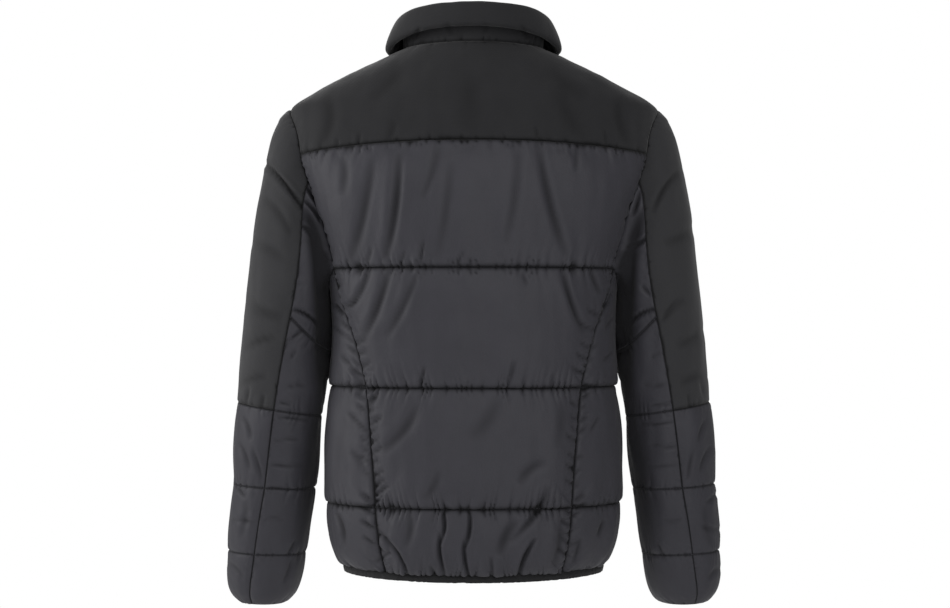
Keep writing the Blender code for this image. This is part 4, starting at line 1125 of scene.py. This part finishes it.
# elastic hem binding, gathered into small ribs that fade at its upper edge
binding = {
    "levels": 3, "gather": 0.0009, "spacing": 0.0115, "radius": 0.15, "shift": 0.9,
    "upperEdge": -0.6535, "fade": 0.004, "leastRib": 0.15, "smoothAngle": 60, "flat": (0.98, 0.016),
}
hem = copyNode("hem_binding", "hem-binding-cloth")
refine(hem, binding["levels"], "SIMPLE")
hemPoints = np.array([v.co[:] for v in hem.data.vertices])
hemNormals = np.array([v.normal[:] for v in hem.data.vertices])
around = np.arctan2(hemPoints[:, 0], hemPoints[:, 1]) * binding["radius"]
ribs = pleats(around + binding["shift"], binding["spacing"], 2) * binding["gather"]
low = np.clip((binding["upperEdge"] - hemPoints[:, 2]) / binding["fade"], binding["leastRib"], 1)
hemPoints += hemNormals * (ribs * low)[:, None]
hem.data.vertices.foreach_set("co", hemPoints.reshape(-1))
hem.data.update()
smoothShade(hem, binding["smoothAngle"])
giveMaterial(hem, "elastic_binding")
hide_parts("hem_binding")
print("hem binding:", len(hem.data.polygons), "faces")


# the zip: woven tapes with a corded edge, and teeth that interlock
zipTooth = {
    "across": 0.0032, "along": 0.0012, "thick": 0.0020, "bevel": 0.00025, "pitch": 0.00155,
    "proud": 0.0004, "aside": 0.0009, "top": -0.1015, "smoothAngle": 40,
}
tape = {
    "reach": 0.0092, "cut": 0.0105, "tail": 0.0100, "thick": 0.00055, "pitch": 0.004, "smoothAngle": 50,
    "start": 0.0003, "cord": 0.0006, "cordHeight": 0.9, "cordSteps": 6,
    "sunk": 0.0002, "flatSunk": 0.00015, "rib": 0.00005, "flatSteps": 8,
    "nearCentre": 0.001, "merge": 0.00001,
}


def zipPath():
    # the outer corners of the left tape beside the centre line, from the hem up
    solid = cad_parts["zip_tape_left"].data
    corners = {tuple(round(c, 5) for c in v.co) for v in solid.vertices if v.co.x < tape["nearCentre"]}
    corners = sorted(corners, key=lambda p: p[2])
    path = []
    for a, b in zip(corners[::2], corners[1::2]):
        outer, inner = (a, b) if a[1] < b[1] else (b, a)
        outward = (Vector(outer) - Vector(inner)).normalized()
        path.append((Vector((0, outer[1], outer[2])), outward))
    # the tape's end is tucked behind the hem binding's two ends
    (low, outward), (above, _) = path[:2]
    return [(low + (low - above).normalized() * tape["tail"], outward)] + path


def makeTape(side, name, nodeName):
    # section points as (across, out) from the toothed edge, round the cord and along the tape
    section = []
    for k in range(tape["cordSteps"] + 1):
        turn = math.pi * (1 - k / tape["cordSteps"])
        across = tape["start"] + tape["cord"] * (1 + math.cos(turn))
        section.append((across, -tape["sunk"] + tape["cord"] * math.sin(turn) * tape["cordHeight"]))
    for k in range(1, tape["flatSteps"] + 1):
        wide = tape["reach"] - tape["start"] - 2 * tape["cord"]
        across = tape["start"] + 2 * tape["cord"] + wide * k / tape["flatSteps"]
        section.append((across, -tape["flatSunk"] + tape["rib"] * (-1) ** k))
    section += [(across, -tape["sunk"] - tape["thick"]) for across, _ in reversed(section)]
    rings = []
    places = evenPlaces(zipPath(), tape["pitch"])
    for point, outward, _ in places:
        rings.append([point + Vector((side * across, 0, 0)) + outward * out for across, out in section])
    points = [p for ring in rings for p in ring]
    size = len(section)
    faces = []
    for r in range(len(rings) - 1):
        for k in range(size):
            a, b = r * size + k, r * size + (k + 1) % size
            faces.append((a, b, b + size, a + size))
    faces.append(tuple(range(size)))
    faces.append(tuple((len(rings) - 1) * size + k for k in reversed(range(size))))
    mesh = bpy.data.meshes.new(name)
    mesh.from_pydata(points, [], faces)
    piece = meshPiece(name, mesh)
    bpy.ops.object.mode_set(mode="EDIT")
    bpy.ops.mesh.select_all(action="SELECT")
    bpy.ops.mesh.remove_doubles(threshold=tape["merge"])
    bpy.ops.mesh.normals_make_consistent(inside=False)
    bpy.ops.object.mode_set(mode="OBJECT")
    smoothShade(piece, tape["smoothAngle"])
    giveMaterial(piece, "zip_tape")
    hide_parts(nodeName)
    return piece, (len(places) - 1) * tape["pitch"]


def makeTooth():
    # a moulded tooth with rounded edges
    deselectAll()
    bpy.ops.mesh.primitive_cube_add(size=1)
    tooth = bpy.context.object
    tooth.dimensions = (zipTooth["across"], zipTooth["thick"], zipTooth["along"])
    bpy.ops.object.transform_apply(location=False, rotation=False, scale=True)
    bevelEdges(zipTooth["bevel"])
    return tooth


tapeLengths = [
    makeTape(1, "zip-tape-left-cloth", "zip_tape_left"),
    makeTape(-1, "zip-tape-right-cloth", "zip_tape_right"),
]
toothPlaces = []
for i, (point, outward, direction) in enumerate(evenPlaces(zipPath(), zipTooth["pitch"])):
    if point.z < zipTooth["top"]:  # they end under the slider
        aside = Vector(((1 if i % 2 else -1) * zipTooth["aside"], 0, 0))
        toothPlaces.append((point + outward * zipTooth["proud"] + aside, outward, direction))
teeth = copyTo(makeTooth(), "zip-teeth", toothPlaces, zipTooth["smoothAngle"])
giveMaterial(teeth, "dark_metal")
for name in ("zip_slider", "zip_pull"):
    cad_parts[name].data.materials.clear()
    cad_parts[name].data.materials.append(materials["dark_metal"])
print("zip:", len(toothPlaces), "teeth")
